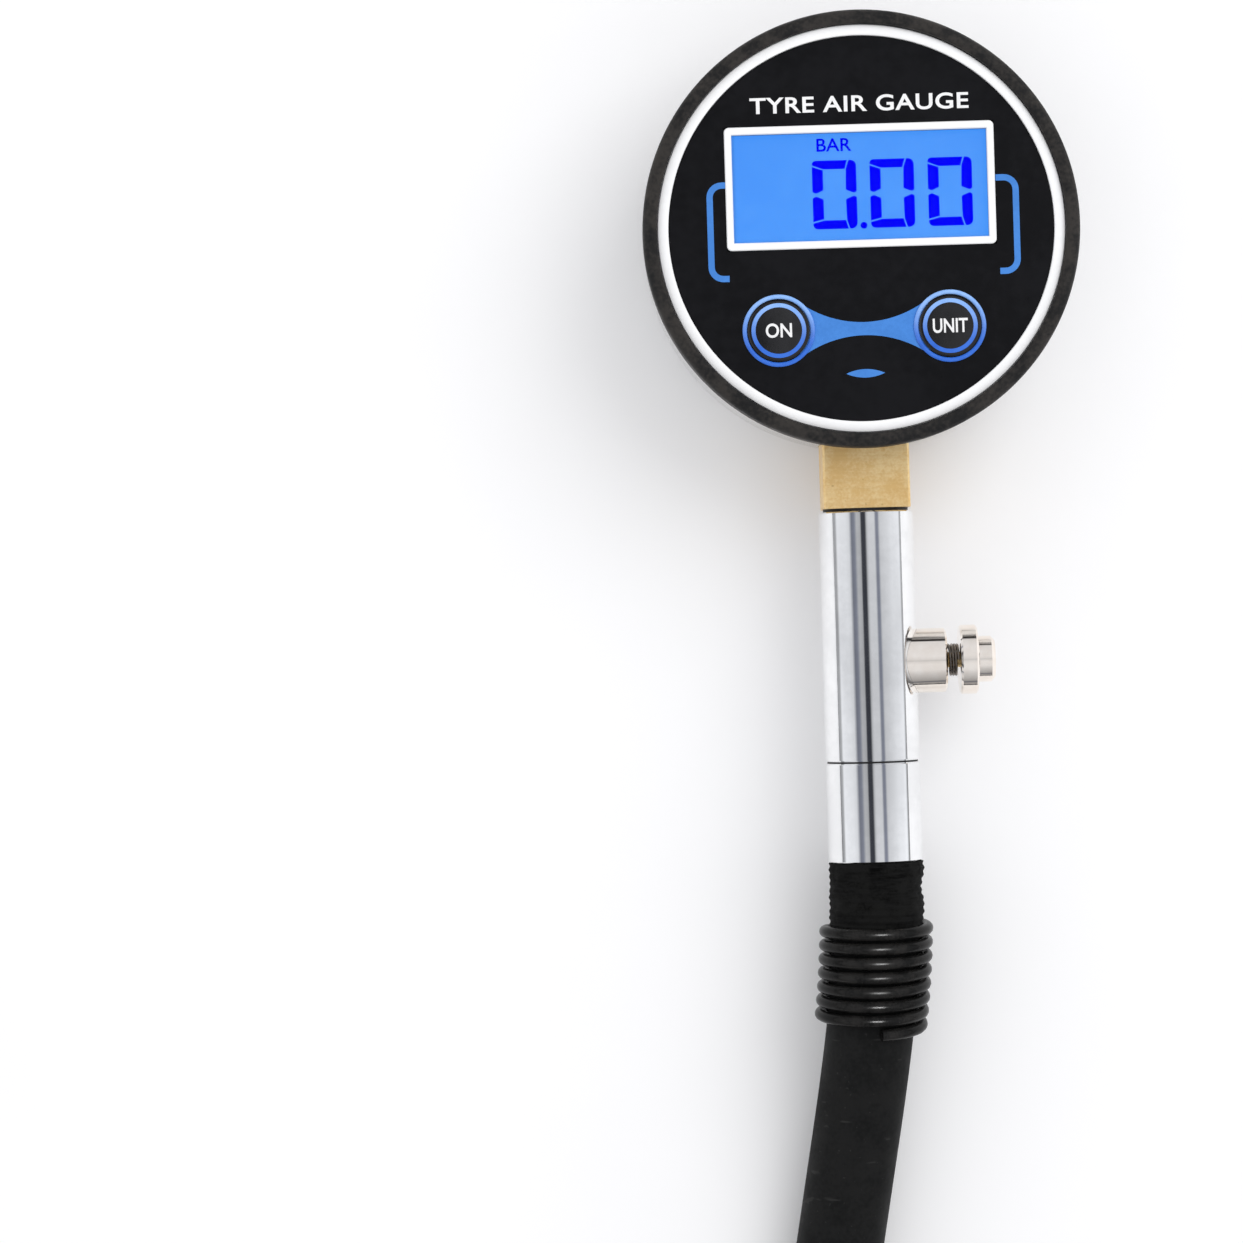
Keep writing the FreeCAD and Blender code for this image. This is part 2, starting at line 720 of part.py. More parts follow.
def bleed_housing():
    """Side port screwed into the tube, whose shoulder is saddled on the tube."""
    shoulder = turned([
        (0, SHANK_X),
        (HOUSING_R, SHANK_X),
        (HOUSING_R, HOUSING_X - 0.3),
        (HOUSING_R - 0.3, HOUSING_X),
        (0, HOUSING_X),
    ], BLEED_BASE, TO_BLEED)
    shoulder = shoulder.cut(rod(TUBE_R + 0.02, 50, 90, STEM_AXIS, DOWN_STEM))
    housing = shoulder.fuse(rod(SHANK_R, SHANK_X, HOUSING_X - 1, BLEED_BASE, TO_BLEED))
    housing = housing.cut(rod(VALVE_SEAT_R, SHANK_X, VALVE_SEAT_X, BLEED_BASE, TO_BLEED))
    housing = housing.cut(rod(SPINDLE_BORE_R, SHANK_X, HOUSING_X, BLEED_BASE, TO_BLEED))
    return housing.cut(rod(SPRING_SEAT_R, SPRING_SEAT_X, HOUSING_X, BLEED_BASE, TO_BLEED))


def bleed_spindle():
    """Brass spindle with a head behind the seal."""
    neck_x = SPINDLE_HEAD_X + SPINDLE_HEAD_T
    return turned([
        (0, SPINDLE_HEAD_X),
        (SEAL_R - 0.1, SPINDLE_HEAD_X),
        (SEAL_R - 0.1, neck_x),
        (SPINDLE_R, neck_x),
        (SPINDLE_R, SPINDLE_END_X),
        (0, SPINDLE_END_X),
    ], BLEED_BASE, TO_BLEED)


def bleed_seal():
    """Rubber seal that the spindle holds against the inside of the seat."""
    start = SPINDLE_HEAD_X + SPINDLE_HEAD_T
    return washer(SEAL_R, SPINDLE_R + 0.02, start, VALVE_SEAT_X - 0.02, BLEED_BASE, TO_BLEED)


def bleed_spring():
    """Return spring round the spindle, from its seat in the housing to the button."""
    length = BUTTON_X - SPRING_SEAT_X - 0.1
    solid_length = (BLEED_TURNS + 1) * BLEED_WIRE
    print("bleed spring %.1f long, %.1f pressed, %.1f solid" % (length, length - BLEED_TRAVEL, solid_length))
    base = BLEED_BASE + TO_BLEED * (SPRING_SEAT_X + 0.05)
    return coil(BLEED_SPRING_R, BLEED_WIRE, BLEED_TURNS, length, base, TO_BLEED)


def bleed_button():
    """Push button with a wide flange and a narrower tip."""
    flange_end = BUTTON_X + BUTTON_T
    return turned([
        (0, SPINDLE_END_X + 0.1),
        (SPINDLE_R + 0.02, SPINDLE_END_X + 0.1),
        (SPINDLE_R + 0.02, BUTTON_X),
        (BUTTON_R - 0.3, BUTTON_X),
        (BUTTON_R, BUTTON_X + 0.3),
        (BUTTON_R, flange_end - 0.3),
        (BUTTON_R - 0.3, flange_end),
        (TIP_R + 0.2, flange_end),
        (TIP_R, flange_end + 0.2),
        (TIP_R, TIP_X - 0.6),
        (TIP_R - 0.6, TIP_X),
        (0, TIP_X),
    ], BLEED_BASE, TO_BLEED)


def collar_o_ring():
    """Thin black ring in the seam between the tube and the collar."""
    return washer(7.35, STUD_R + 0.1, -TUBE_END_Y, -COLLAR_TOP_Y, STEM_AXIS, DOWN_STEM)


def hose_collar():
    """Chrome collar that closes over the nipple and meets the hose."""
    top = -COLLAR_TOP_Y
    end = -COLLAR_END_Y
    return turned([
        (STUD_HOLE_R, top),
        (TUBE_R - 0.2, top),
        (TUBE_R, top + 0.2),
        (TUBE_R, end - 0.3),
        (TUBE_R - 0.3, end),
        (BARB_R + 0.1, end),
        (BARB_R + 0.1, -STUD_END_Y + 0.1),
        (STUD_HOLE_R, -STUD_END_Y + 0.1),
    ], STEM_AXIS, DOWN_STEM)


def barbs(start, step, count, way):
    """Outline points of saw-tooth barbs along a nipple, spaced in the given way."""
    points = []
    for index in range(count):
        place = start + way * index * step
        points += [(BARB_R, place), (BARB_R + 0.2, place), (BARB_R, place + way * step * 0.8)]
    return points


def hose_nipple():
    """Nipple with a stud in the tube and barbs in the hose."""
    tip = -COLLAR_END_Y + 11.0
    return turned([
        (AIRWAY_R, -STUD_TOP_Y),
        (STUD_R - 0.4, -STUD_TOP_Y),
        (STUD_R, -STUD_TOP_Y + 0.4),
        (STUD_R, -STUD_END_Y),
        (BARB_R, -STUD_END_Y),
        *barbs(-COLLAR_END_Y + 1.0, 2.0, 3, 1),
        (BARB_R - 0.3, tip),
        (AIRWAY_R, tip),
    ], STEM_AXIS, DOWN_STEM)


# ---------------------------------------------------------------- hose and its guards


def hose_path():
    """Straight runs joined by tangent arcs, as large as the runs allow."""
    points = HOSE_ROUTE
    edges = []
    start = points[0]
    radii = []
    for before, corner, after in zip(points, points[1:], points[2:]):
        back = (before - corner).normalize()
        ahead = (after - corner).normalize()
        half_turn = (math.pi - back.getAngle(ahead)) / 2
        reach = 0.45 * min((before - corner).Length, (after - corner).Length)
        radius = reach / math.tan(half_turn)
        inward = (back + ahead).normalize()
        middle = corner + inward * (radius / math.cos(half_turn) - radius)
        first = corner + back * reach
        last = corner + ahead * reach
        edges.append(Part.LineSegment(start, first).toShape())
        edges.append(Part.Arc(first, middle, last).toShape())
        start = last
        radii.append(radius)
    edges.append(Part.LineSegment(start, points[-1]).toShape())
    print("hose bend radii:", " ".join("%.1f" % radius for radius in radii))
    return Part.Wire(edges)


def air_hose():
    """Rubber hose along its whole route, open at both ends."""
    path = hose_path()
    circles = [Part.makeCircle(radius, HOSE_ROUTE[0], DOWN_STEM) for radius in (HOSE_R, HOSE_BORE_R)]
    outer, inner = [path.makePipe(Part.Face(Part.Wire([circle]))) for circle in circles]
    hose = outer.cut(inner)
    section = math.pi * (HOSE_R ** 2 - HOSE_BORE_R ** 2)
    print("hose length %.1f, volume %.0f, section x length %.0f"
          % (path.Length, hose.Volume, section * path.Length))
    return hose


def guard_axis():
    """Start and direction of the spring guard, which lies along the hose's second run."""
    way = (HOSE_ROUTE[2] - HOSE_ROUTE[1]).normalize()
    return HOSE_ROUTE[1] - way * GUARD_START, way


def fabric_sleeve():
    """Textile sleeve from the collar to the spring guard."""
    base, way = guard_axis()
    sleeve = washer(SLEEVE_R, SLEEVE_BORE_R, -COLLAR_END_Y, -COLLAR_END_Y + 12, STEM_AXIS, DOWN_STEM)
    return sleeve.cut(rod(GUARD_R + 3, -0.05, 10, base, way))


def spring_guard():
    """Coil spring that keeps the hose from kinking at the collar."""
    base, way = guard_axis()
    return coil(GUARD_R - GUARD_WIRE / 2, GUARD_WIRE, GUARD_TURNS, GUARD_LENGTH, base, way)


# ---------------------------------------------------------------- chuck

CHUCK_WAY = (HOSE_ROUTE[-1] - HOSE_ROUTE[-2]).normalize()
HEAD_WAY = FreeCAD.Rotation(UP, HEAD_ANGLE).multVec(CHUCK_WAY)
ELBOW_AT = HOSE_END + CHUCK_WAY * ELBOW
MOUTH_AT = ELBOW_AT + HEAD_WAY * HEAD_L


def chuck_ferrule():
    """Chrome ferrule on the far end of the hose."""
    return turned([
        (4.05, 0),
        (FERRULE_R - 0.3, 0),
        (FERRULE_R, 0.3),
        (FERRULE_R, 3.0),
        (FERRULE_R - 0.4, 3.4),
        (FERRULE_R - 0.4, 4.4),
        (FERRULE_R, 4.8),
        (FERRULE_R, FERRULE_L - 1.2),
        (FERRULE_R - 1.2, FERRULE_L),
        (4.05, FERRULE_L),
    ], HOSE_END, CHUCK_WAY)


def chuck_nipple():
    """Nipple with barbs in the hose and a headed neck that the chuck turns on."""
    return turned([
        (AIRWAY_R, -11.0),
        (BARB_R - 0.3, -11.0),
        *reversed(barbs(-1.0, 2.0, 4, -1)),
        (BARB_R, 0.0),
        (4.0, 0.0),
        (4.0, NECK_START),
        (NECK_R, NECK_START),
        (NECK_R, NIPPLE_HEAD_START),
        (NIPPLE_HEAD_R, NIPPLE_HEAD_START),
        (NIPPLE_HEAD_R, NIPPLE_HEAD_END),
        (AIRWAY_R, NIPPLE_HEAD_END),
    ], HOSE_END, CHUCK_WAY)


def swivel_o_ring():
    """O-ring that seals the turning joint."""
    return torus(3.4, 0.84, NIPPLE_HEAD_END + 0.86, HOSE_END, CHUCK_WAY)


def swivel_nut():
    """Nut on the chuck body that holds the nipple's head, with gripping flutes."""
    nut = turned([
        (NECK_BORE_R, NUT_START),
        (NUT_R - 0.5, NUT_START),
        (NUT_R, NUT_START + 0.5),
        (NUT_R, NUT_END),
        (NUT_SOCKET_R, NUT_END),
        (NUT_SOCKET_R, NUT_SHOULDER),
        (NECK_BORE_R, NUT_SHOULDER),
    ], HOSE_END, CHUCK_WAY)
    side = CHUCK_WAY.cross(UP)
    for index in range(12):
        turn = FreeCAD.Rotation(CHUCK_WAY, index * 30)
        place = HOSE_END + turn.multVec(side) * (NUT_R + 0.5)
        nut = nut.cut(rod(0.9, NUT_START + 1.2, NUT_END - 1.2, place, CHUCK_WAY))
    return nut


def chuck_body():
    """Angled head with the swivel pocket behind and the tyre-valve mouth in front."""
    neck = rod(SPIGOT_THREAD_R, NUT_SHOULDER + 0.1, NUT_END + 2, HOSE_END, CHUCK_WAY)
    arm = rod(NUT_R, NUT_END + 0.02, ELBOW, HOSE_END, CHUCK_WAY)
    elbow = Part.makeSphere(NUT_R, ELBOW_AT)
    head = turned([
        (0, 0),
        (NUT_R, 0),
        (NUT_R, 5.0),
        (HEAD_R, 6.0),
        (HEAD_R, HEAD_L - 0.8),
        (HEAD_R - 0.8, HEAD_L),
        (0, HEAD_L),
    ], ELBOW_AT, HEAD_WAY)
    body = neck.multiFuse([arm, elbow, head]).removeSplitter()
    back = HEAD_WAY * -1
    seat = MOUTH_DEPTH + GROMMET_T
    body = body.cut(rod(POCKET_R, NUT_SHOULDER, POCKET_END, HOSE_END, CHUCK_WAY))
    body = body.cut(rod(AIRWAY_R, NUT_SHOULDER, ELBOW, HOSE_END, CHUCK_WAY))
    body = body.cut(rod(AIRWAY_R, seat, HEAD_L, MOUTH_AT, back))
    body = body.cut(rod(MOUTH_R, 0, MOUTH_DEPTH, MOUTH_AT, back))
    return body.cut(rod(GROMMET_R, MOUTH_DEPTH, seat, MOUTH_AT, back))


def chuck_washer():
    """Rubber grommet that seals on the rim of the tyre valve."""
    start = MOUTH_DEPTH + 0.02
    end = MOUTH_DEPTH + GROMMET_T
    return washer(GROMMET_R, GROMMET_BORE_R, start, end, MOUTH_AT, HEAD_WAY * -1)


def depressor_pin():
    """Pin in the middle of the grommet that opens the tyre valve, with two air slots."""
    top = MOUTH_DEPTH + 0.3
    seat = MOUTH_DEPTH + GROMMET_T
    pin = turned([
        (0, top),
        (PIN_R - 0.2, top),
        (PIN_R, top + 0.2),
        (PIN_R, seat),
        (AIRWAY_R, seat),
        (AIRWAY_R, seat + 3.0),
        (0, seat + 3.0),
    ], MOUTH_AT, HEAD_WAY * -1)
    slot = rod(0.5, seat, seat + 3.0, MOUTH_AT + UP * AIRWAY_R, HEAD_WAY * -1)
    other = rod(0.5, seat, seat + 3.0, MOUTH_AT - UP * AIRWAY_R, HEAD_WAY * -1)
    return pin.cut(slot).cut(other)


PIECES = {
    "gauge_case": gauge_case,
    "bezel_ring": bezel_ring,
    "dial_ring": dial_ring,
    "face_plate": face_plate,
    "face_overlay": face_overlay,
    "window_frame": window_frame,
    "display_window": display_window,
    "lcd_panel": lcd_panel,
    "backlight_panel": backlight_panel,
    "zebra_strip": zebra_strip,
    "circuit_board": circuit_board,
    "control_chip": control_chip,
    "board_screws": board_screws,
    "key_rings": key_rings,
    "on_button": lambda: key(KEYS["on"]),
    "mode_button": lambda: key(KEYS["mode"]),
    "switch_bodies": switch_bodies,
    "on_switch_plunger": lambda: switch_plunger(KEYS["on"]),
    "mode_switch_plunger": lambda: switch_plunger(KEYS["mode"]),
    "inner_frame": inner_frame,
    "battery_tray": battery_tray,
    "battery_upper": lambda: battery("upper", 1),
    "battery_lower": lambda: battery("lower", -1),
    "contact_bridge": contact_bridge,
    "contact_plates": contact_plates,
    "battery_cover": battery_cover,
    "battery_cover_screws": battery_cover_screws,
    "stem_screws": stem_screws,
    "pressure_sensor": pressure_sensor,
    "sensor_o_ring": sensor_o_ring,
    "sensor_leads": sensor_leads,
    "stem_block": stem_block,
    "stem_washer": stem_washer,
    "valve_tube": valve_tube,
    "bleed_housing": bleed_housing,
    "bleed_spindle": bleed_spindle,
    "bleed_seal": bleed_seal,
    "bleed_spring": bleed_spring,
    "bleed_button": bleed_button,
    "collar_o_ring": collar_o_ring,
    "hose_collar": hose_collar,
    "hose_nipple": hose_nipple,
    "fabric_sleeve": fabric_sleeve,
    "spring_guard": spring_guard,
    "air_hose": air_hose,
    "chuck_ferrule": chuck_ferrule,
    "chuck_nipple": chuck_nipple,
    "swivel_o_ring": swivel_o_ring,
    "swivel_nut": swivel_nut,
    "chuck_body": chuck_body,
    "chuck_washer": chuck_washer,
    "depressor_pin": depressor_pin,
}

os.makedirs("parts", exist_ok=True)
for name, make in PIECES.items():
    shape = make()
    solids = len(shape.Solids)
    print("%-22s solids %d  volume %9.1f  valid %s" % (name, solids, shape.Volume, shape.isValid()))
    shape.exportStep("parts/%s.step" % name)
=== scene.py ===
import json
import math

import bmesh
import bpy
from mathutils import Matrix, Vector, noise as noise_field


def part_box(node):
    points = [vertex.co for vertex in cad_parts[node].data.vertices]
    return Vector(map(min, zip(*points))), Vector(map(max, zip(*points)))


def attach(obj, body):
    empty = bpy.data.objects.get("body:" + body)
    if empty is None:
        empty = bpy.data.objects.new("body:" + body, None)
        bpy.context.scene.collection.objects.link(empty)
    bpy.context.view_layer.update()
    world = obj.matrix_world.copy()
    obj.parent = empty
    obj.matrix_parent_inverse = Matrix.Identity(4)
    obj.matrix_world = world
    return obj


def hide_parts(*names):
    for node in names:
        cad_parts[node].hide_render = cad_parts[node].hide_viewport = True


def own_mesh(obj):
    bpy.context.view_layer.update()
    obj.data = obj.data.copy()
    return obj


# Digital tyre pressure gauge on a rubber hose, lying on its back. Metres. The origin is the
# middle of the flat back of the case, +Z comes out of the display, +Y is the top of the
# display, and the stem and hose leave along -Y.

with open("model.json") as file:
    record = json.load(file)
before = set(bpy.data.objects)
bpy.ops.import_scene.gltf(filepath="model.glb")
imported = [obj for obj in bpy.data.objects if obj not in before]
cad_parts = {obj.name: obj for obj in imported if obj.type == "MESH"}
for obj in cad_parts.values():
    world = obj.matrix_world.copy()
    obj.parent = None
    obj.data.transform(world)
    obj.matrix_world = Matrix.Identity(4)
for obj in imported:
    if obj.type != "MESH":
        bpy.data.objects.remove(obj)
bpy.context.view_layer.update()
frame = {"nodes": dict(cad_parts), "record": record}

MM = 0.001
UP = Vector((0, 0, 1))

FACE_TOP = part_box("face_overlay")[1].z
GLASS_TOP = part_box("lcd_panel")[1].z
WINDOW_Y = (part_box("window_frame")[0].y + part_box("window_frame")[1].y) / 2
STEM_Z = (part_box("valve_tube")[0].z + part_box("valve_tube")[1].z) / 2
BLEED_Y = (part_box("bleed_button")[0].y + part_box("bleed_button")[1].y) / 2
KEYS = {
    "on": (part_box("on_button")[0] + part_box("on_button")[1]) / 2,
    "mode": (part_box("mode_button")[0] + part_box("mode_button")[1]) / 2,
}
KEY_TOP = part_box("on_button")[1].z

PRINT_T = 0.03 * MM
DISPLAY_INK_T = 0.05 * MM

HOSE_R = 7.15 * MM
HOSE_ROUTE = (
    (0.0, -102.0, 14.0),
    (0.0, -113.0, 14.0),
    (-1.6, -131.0, 12.2),
    (-6.8, -162.0, 7.15),
    (-11.9, -191.1, 7.15),
    (-3.8, -233.1, 7.15),
    (24.2, -265.5, 7.15),
    (64.7, -279.5, 7.15),
    (106.7, -271.4, 7.15),
    (139.0, -243.4, 7.4),
    (153.0, -202.9, 7.95),
    (144.9, -160.9, 7.95),
)
GUARD_R = 9.35 * MM
GUARD_WIRE = 1.95 * MM
GUARD_START = 9.6 * MM
GUARD_PITCH = 2.26 * MM
GUARD_LEAN = Vector((0.9985, -0.055, 0.0))
GUARD_FROM = -136
GUARD_TO = 2600
SLEEVE_R = 7.62 * MM
SLEEVE_RIB = 1.15 * MM
SLEEVE_LENGTH = 10.2 * MM

CAMERA_PLACE = (-0.0402, -0.0617, 0.778)
CAMERA_ROLL = math.radians(-1.7)
CAMERA_LENS = 135.9
GLINT_PLACE = (0.13, -0.12, 0.9)
GLINT_TARGET = (0, -0.12, 0)
FLOOR_SIZE = 6.0
FLOOR_Z = -0.05 * MM
RING_STEPS = 256


# ---------------------------------------------------------------- view and light


def add_camera():
    """Camera nearly straight above the stem."""
    lens = bpy.data.cameras.new("viewpoint")
    lens.sensor_width = 36.0
    lens.lens = CAMERA_LENS
    eye = bpy.data.objects.new("viewpoint", lens)
    eye.location = CAMERA_PLACE
    eye.rotation_euler = (0, 0, CAMERA_ROLL)
    bpy.context.scene.collection.objects.link(eye)
    bpy.context.scene.camera = eye


def tone(level, tint=(1.0, 1.0, 1.0)):
    """Linear colour whose display value is the level, from 0 to 255."""
    linear = ((level / 255 + 0.055) / 1.055) ** 2.4
    return tuple(linear * part for part in tint) + (1.0,)


# Bands are (degrees, level of 255, tint) about the Y axis, then (degrees, level) about the X axis.
COOL = (0.975, 0.99, 1.03)
NAVY = (0.90, 0.96, 1.18)
SIDE_BANDS = (
    (-180, 246, COOL), (-93, 246, COOL), (-90, 170, COOL), (-83, 170, COOL), (-78, 248, COOL),
    (-54, 250, COOL), (-45, 240, COOL), (-38, 132, NAVY), (-31, 146, NAVY), (-25, 202, COOL),
    (-17, 192, COOL), (-14, 70, NAVY), (-5, 66, NAVY), (-1, 208, COOL), (3, 230, COOL),
    (17, 230, COOL), (21, 148, NAVY), (26, 148, NAVY), (30, 222, COOL),
    (60, 246, COOL), (83, 246, COOL), (86, 176, COOL), (92, 176, COOL), (97, 238, COOL), (180, 238, COOL),
)
LENGTH_BANDS = (
    (-180, 255), (-104, 240), (-94, 150), (-74, 180), (-48, 222), (-34, 248), (-14, 255),
    (-4, 240), (-1, 220), (3, 240), (14, 252), (40, 250), (70, 240),
    (76, 60), (90, 60), (94, 240), (180, 255),
)


def band_ramp(nodes, links, angle, bands):
    """Colour ramp over an angle in radians, from stops given in degrees."""
    share = nodes.new("ShaderNodeMapRange")
    share.inputs["From Min"].default_value = -math.pi
    share.inputs["From Max"].default_value = math.pi
    links.new(angle, share.inputs["Value"])
    ramp = nodes.new("ShaderNodeValToRGB")
    links.new(share.outputs["Result"], ramp.inputs["Fac"])
    stops = ramp.color_ramp.elements
    while len(stops) < len(bands):
        stops.new(0.5)
    for stop, band in zip(stops, bands):
        stop.position = band[0] / 360 + 0.5
        stop.color = tone(*band[1:])
    return ramp.outputs["Color"]


def studio_sky():
    """Plain pale studio for matt surfaces; mirrors see bands that draw the chrome's dark lines."""
    world = bpy.data.worlds.new("studio")
    bpy.context.scene.world = world
    world.use_nodes = True
    nodes, links = world.node_tree.nodes, world.node_tree.links
    nodes.clear()
    place = nodes.new("ShaderNodeTexCoord")
    split = nodes.new("ShaderNodeSeparateXYZ")
    links.new(place.outputs["Generated"], split.inputs["Vector"])
    bands = []
    for axis, stops in (("X", SIDE_BANDS), ("Y", LENGTH_BANDS)):
        angle = nodes.new("ShaderNodeMath")
        angle.operation = "ARCTAN2"
        links.new(split.outputs[axis], angle.inputs[0])
        links.new(split.outputs["Z"], angle.inputs[1])
        bands.append(band_ramp(nodes, links, angle.outputs["Value"], stops))
    tent = nodes.new("ShaderNodeMix")
    tent.data_type = "RGBA"
    tent.blend_type = "MULTIPLY"
    tent.inputs["Factor"].default_value = 1.0
    links.new(bands[0], tent.inputs["A"])
    links.new(bands[1], tent.inputs["B"])
    path = nodes.new("ShaderNodeLightPath")
    mirrored = nodes.new("ShaderNodeBackground")
    links.new(tent.outputs["Result"], mirrored.inputs["Color"])
    mirrored.inputs["Strength"].default_value = 1.05
    plain = nodes.new("ShaderNodeBackground")
    plain.inputs["Color"].default_value = (0.93, 0.935, 0.95, 1)
    plain.inputs["Strength"].default_value = 0.96
    mix = nodes.new("ShaderNodeMixShader")
    links.new(path.outputs["Is Glossy Ray"], mix.inputs["Fac"])
    links.new(plain.outputs["Background"], mix.inputs[1])
    links.new(mirrored.outputs["Background"], mix.inputs[2])
    out = nodes.new("ShaderNodeOutputWorld")
    links.new(mix.outputs["Shader"], out.inputs["Surface"])


def softbox(name, place, target, size, power):
    """Large square light aimed at a point, which metal doesn't mirror."""
    light = bpy.data.lights.new(name, "AREA")
    light.size = size
    light.energy = power
    lamp = bpy.data.objects.new(name, light)
    lamp.location = place
    lamp.rotation_euler = (Vector(target) - Vector(place)).to_track_quat("-Z", "Y").to_euler()
    lamp.visible_glossy = False
    bpy.context.scene.collection.objects.link(lamp)


def glint_light(piece):
    """Small lamp overhead that puts a glint on the lacquered wire alone."""
    light = bpy.data.lights.new("wire_glint", "AREA")
    light.size = 0.3
    light.energy = 22.0
    lamp = bpy.data.objects.new("wire_glint", light)
    lamp.location = GLINT_PLACE
    lamp.rotation_euler = (Vector(GLINT_TARGET) - lamp.location).to_track_quat("-Z", "Y").to_euler()
    bpy.context.scene.collection.objects.link(lamp)
    lit = bpy.data.collections.new("lit_by_wire_glint")
    lit.objects.link(piece)
    lamp.light_linking.receiver_collection = lit


def add_floor():
    """Plain pale floor."""
    bpy.ops.mesh.primitive_plane_add(size=FLOOR_SIZE, location=(0, 0, FLOOR_Z))
    floor = bpy.context.object
    floor.name = "floor"
    floor.data.materials.append(FINISH["floor"])


# ---------------------------------------------------------------- shader groups


def new_group(name, inputs, outputs):
    """Empty shader group. Inputs are (name, socket type, value) and outputs (name, type)."""
    group = bpy.data.node_groups.new(name, "ShaderNodeTree")
    for label, kind, value in inputs:
        socket = group.interface.new_socket(label, in_out="INPUT", socket_type=kind)
        if value is not None:
            socket.default_value = value
    for label, kind in outputs:
        group.interface.new_socket(label, in_out="OUTPUT", socket_type=kind)
    way_in = group.nodes.new("NodeGroupInput")
    way_out = group.nodes.new("NodeGroupOutput")
    return group, way_in, way_out


VECTOR, FLOAT, COLOUR = "NodeSocketVector", "NodeSocketFloat", "NodeSocketColor"


def noise(group, vector, scale, detail=4.0, roughness=0.55):
    """Noise texture in a tree; the scale may be a socket or a number."""
    node = group.nodes.new("ShaderNodeTexNoise")
    group.links.new(vector, node.inputs["Vector"])
    if isinstance(scale, (int, float)):
        node.inputs["Scale"].default_value = scale
    else:
        group.links.new(scale, node.inputs["Scale"])
    node.inputs["Detail"].default_value = detail
    node.inputs["Roughness"].default_value = roughness
    return node.outputs["Fac"]


def spread(group, value, low, high, to_low=0.0, to_high=1.0):
    """Map a range of a value onto another, with smooth ends."""
    node = group.nodes.new("ShaderNodeMapRange")
    node.interpolation_type = "SMOOTHSTEP"
    group.links.new(value, node.inputs["Value"])
    for label, given in zip(("From Min", "From Max", "To Min", "To Max"), (low, high, to_low, to_high)):
        if isinstance(given, (int, float)):
            node.inputs[label].default_value = given
        else:
            group.links.new(given, node.inputs[label])
    return node.outputs["Result"]


def sums(group, operation, first, second):
    """Math node on two sockets or numbers."""
    node = group.nodes.new("ShaderNodeMath")
    node.operation = operation
    for socket, given in zip(node.inputs, (first, second)):
        if isinstance(given, (int, float)):
            socket.default_value = given
        else:
            group.links.new(given, socket)
    return node.outputs["Value"]


def blended(group, factor, first, second):
    """Colour between two, each a socket or an (r, g, b, 1) value."""
    node = group.nodes.new("ShaderNodeMix")
    node.data_type = "RGBA"
    for label, given in (("Factor", factor), ("A", first), ("B", second)):
        socket = [s for s in node.inputs if s.name == label and s.enabled][0]
        if isinstance(given, (int, float, tuple)):
            socket.default_value = given
        else:
            group.links.new(given, socket)
    return [s for s in node.outputs if s.enabled][0]


def make_mottle():
    """Cloudy change between two colours, with a fine speckle in it."""
    group, way_in, way_out = new_group("mottle", [
        ("Vector", VECTOR, None),
        ("Scale", FLOAT, 100.0),
        ("First Colour", COLOUR, None),
        ("Second Colour", COLOUR, None),
    ], [("Colour", COLOUR), ("Mask", FLOAT)])
    vector, scale = way_in.outputs["Vector"], way_in.outputs["Scale"]
    cloud = noise(group, vector, scale, 3.0)
    speckle = noise(group, vector, sums(group, "MULTIPLY", scale, 9.0), 2.0)
    mixed = sums(group, "ADD", sums(group, "MULTIPLY", cloud, 0.65), sums(group, "MULTIPLY", speckle, 0.35))
    mask = spread(group, mixed, 0.38, 0.62)
    colour = blended(group, mask, way_in.outputs["First Colour"], way_in.outputs["Second Colour"])
    group.links.new(colour, way_out.inputs["Colour"])
    group.links.new(mask, way_out.inputs["Mask"])
    return group


def make_grain():
    """Fine surface grain as a height, and a patchy roughness between two values."""
    group, way_in, way_out = new_group("grain", [
        ("Vector", VECTOR, None),
        ("Scale", FLOAT, 2000.0),
        ("Smooth", FLOAT, 0.3),
        ("Rough", FLOAT, 0.5),
    ], [("Height", FLOAT), ("Roughness", FLOAT)])
    vector, scale = way_in.outputs["Vector"], way_in.outputs["Scale"]
    group.links.new(noise(group, vector, scale, 3.0, 0.6), way_out.inputs["Height"])
    patches = noise(group, vector, sums(group, "MULTIPLY", scale, 0.06), 4.0, 0.6)
    rough = spread(group, patches, 0.3, 0.7, way_in.outputs["Smooth"], way_in.outputs["Rough"])
    group.links.new(rough, way_out.inputs["Roughness"])
    return group


def make_brushing():
    """Lines drawn out along one direction, for machined or brushed metal."""
    group, way_in, way_out = new_group("brushing", [
        ("Vector", VECTOR, None),
        ("Stretch", VECTOR, (1.0, 1.0, 1.0)),
        ("Scale", FLOAT, 1500.0),
    ], [("Height", FLOAT), ("Mask", FLOAT)])
    stretch = group.nodes.new("ShaderNodeVectorMath")
    stretch.operation = "MULTIPLY"
    group.links.new(way_in.outputs["Vector"], stretch.inputs[0])
    group.links.new(way_in.outputs["Stretch"], stretch.inputs[1])
    lines = noise(group, stretch.outputs["Vector"], way_in.outputs["Scale"], 5.0, 0.7)
    group.links.new(lines, way_out.inputs["Height"])
    group.links.new(spread(group, lines, 0.4, 0.68), way_out.inputs["Mask"])
    return group


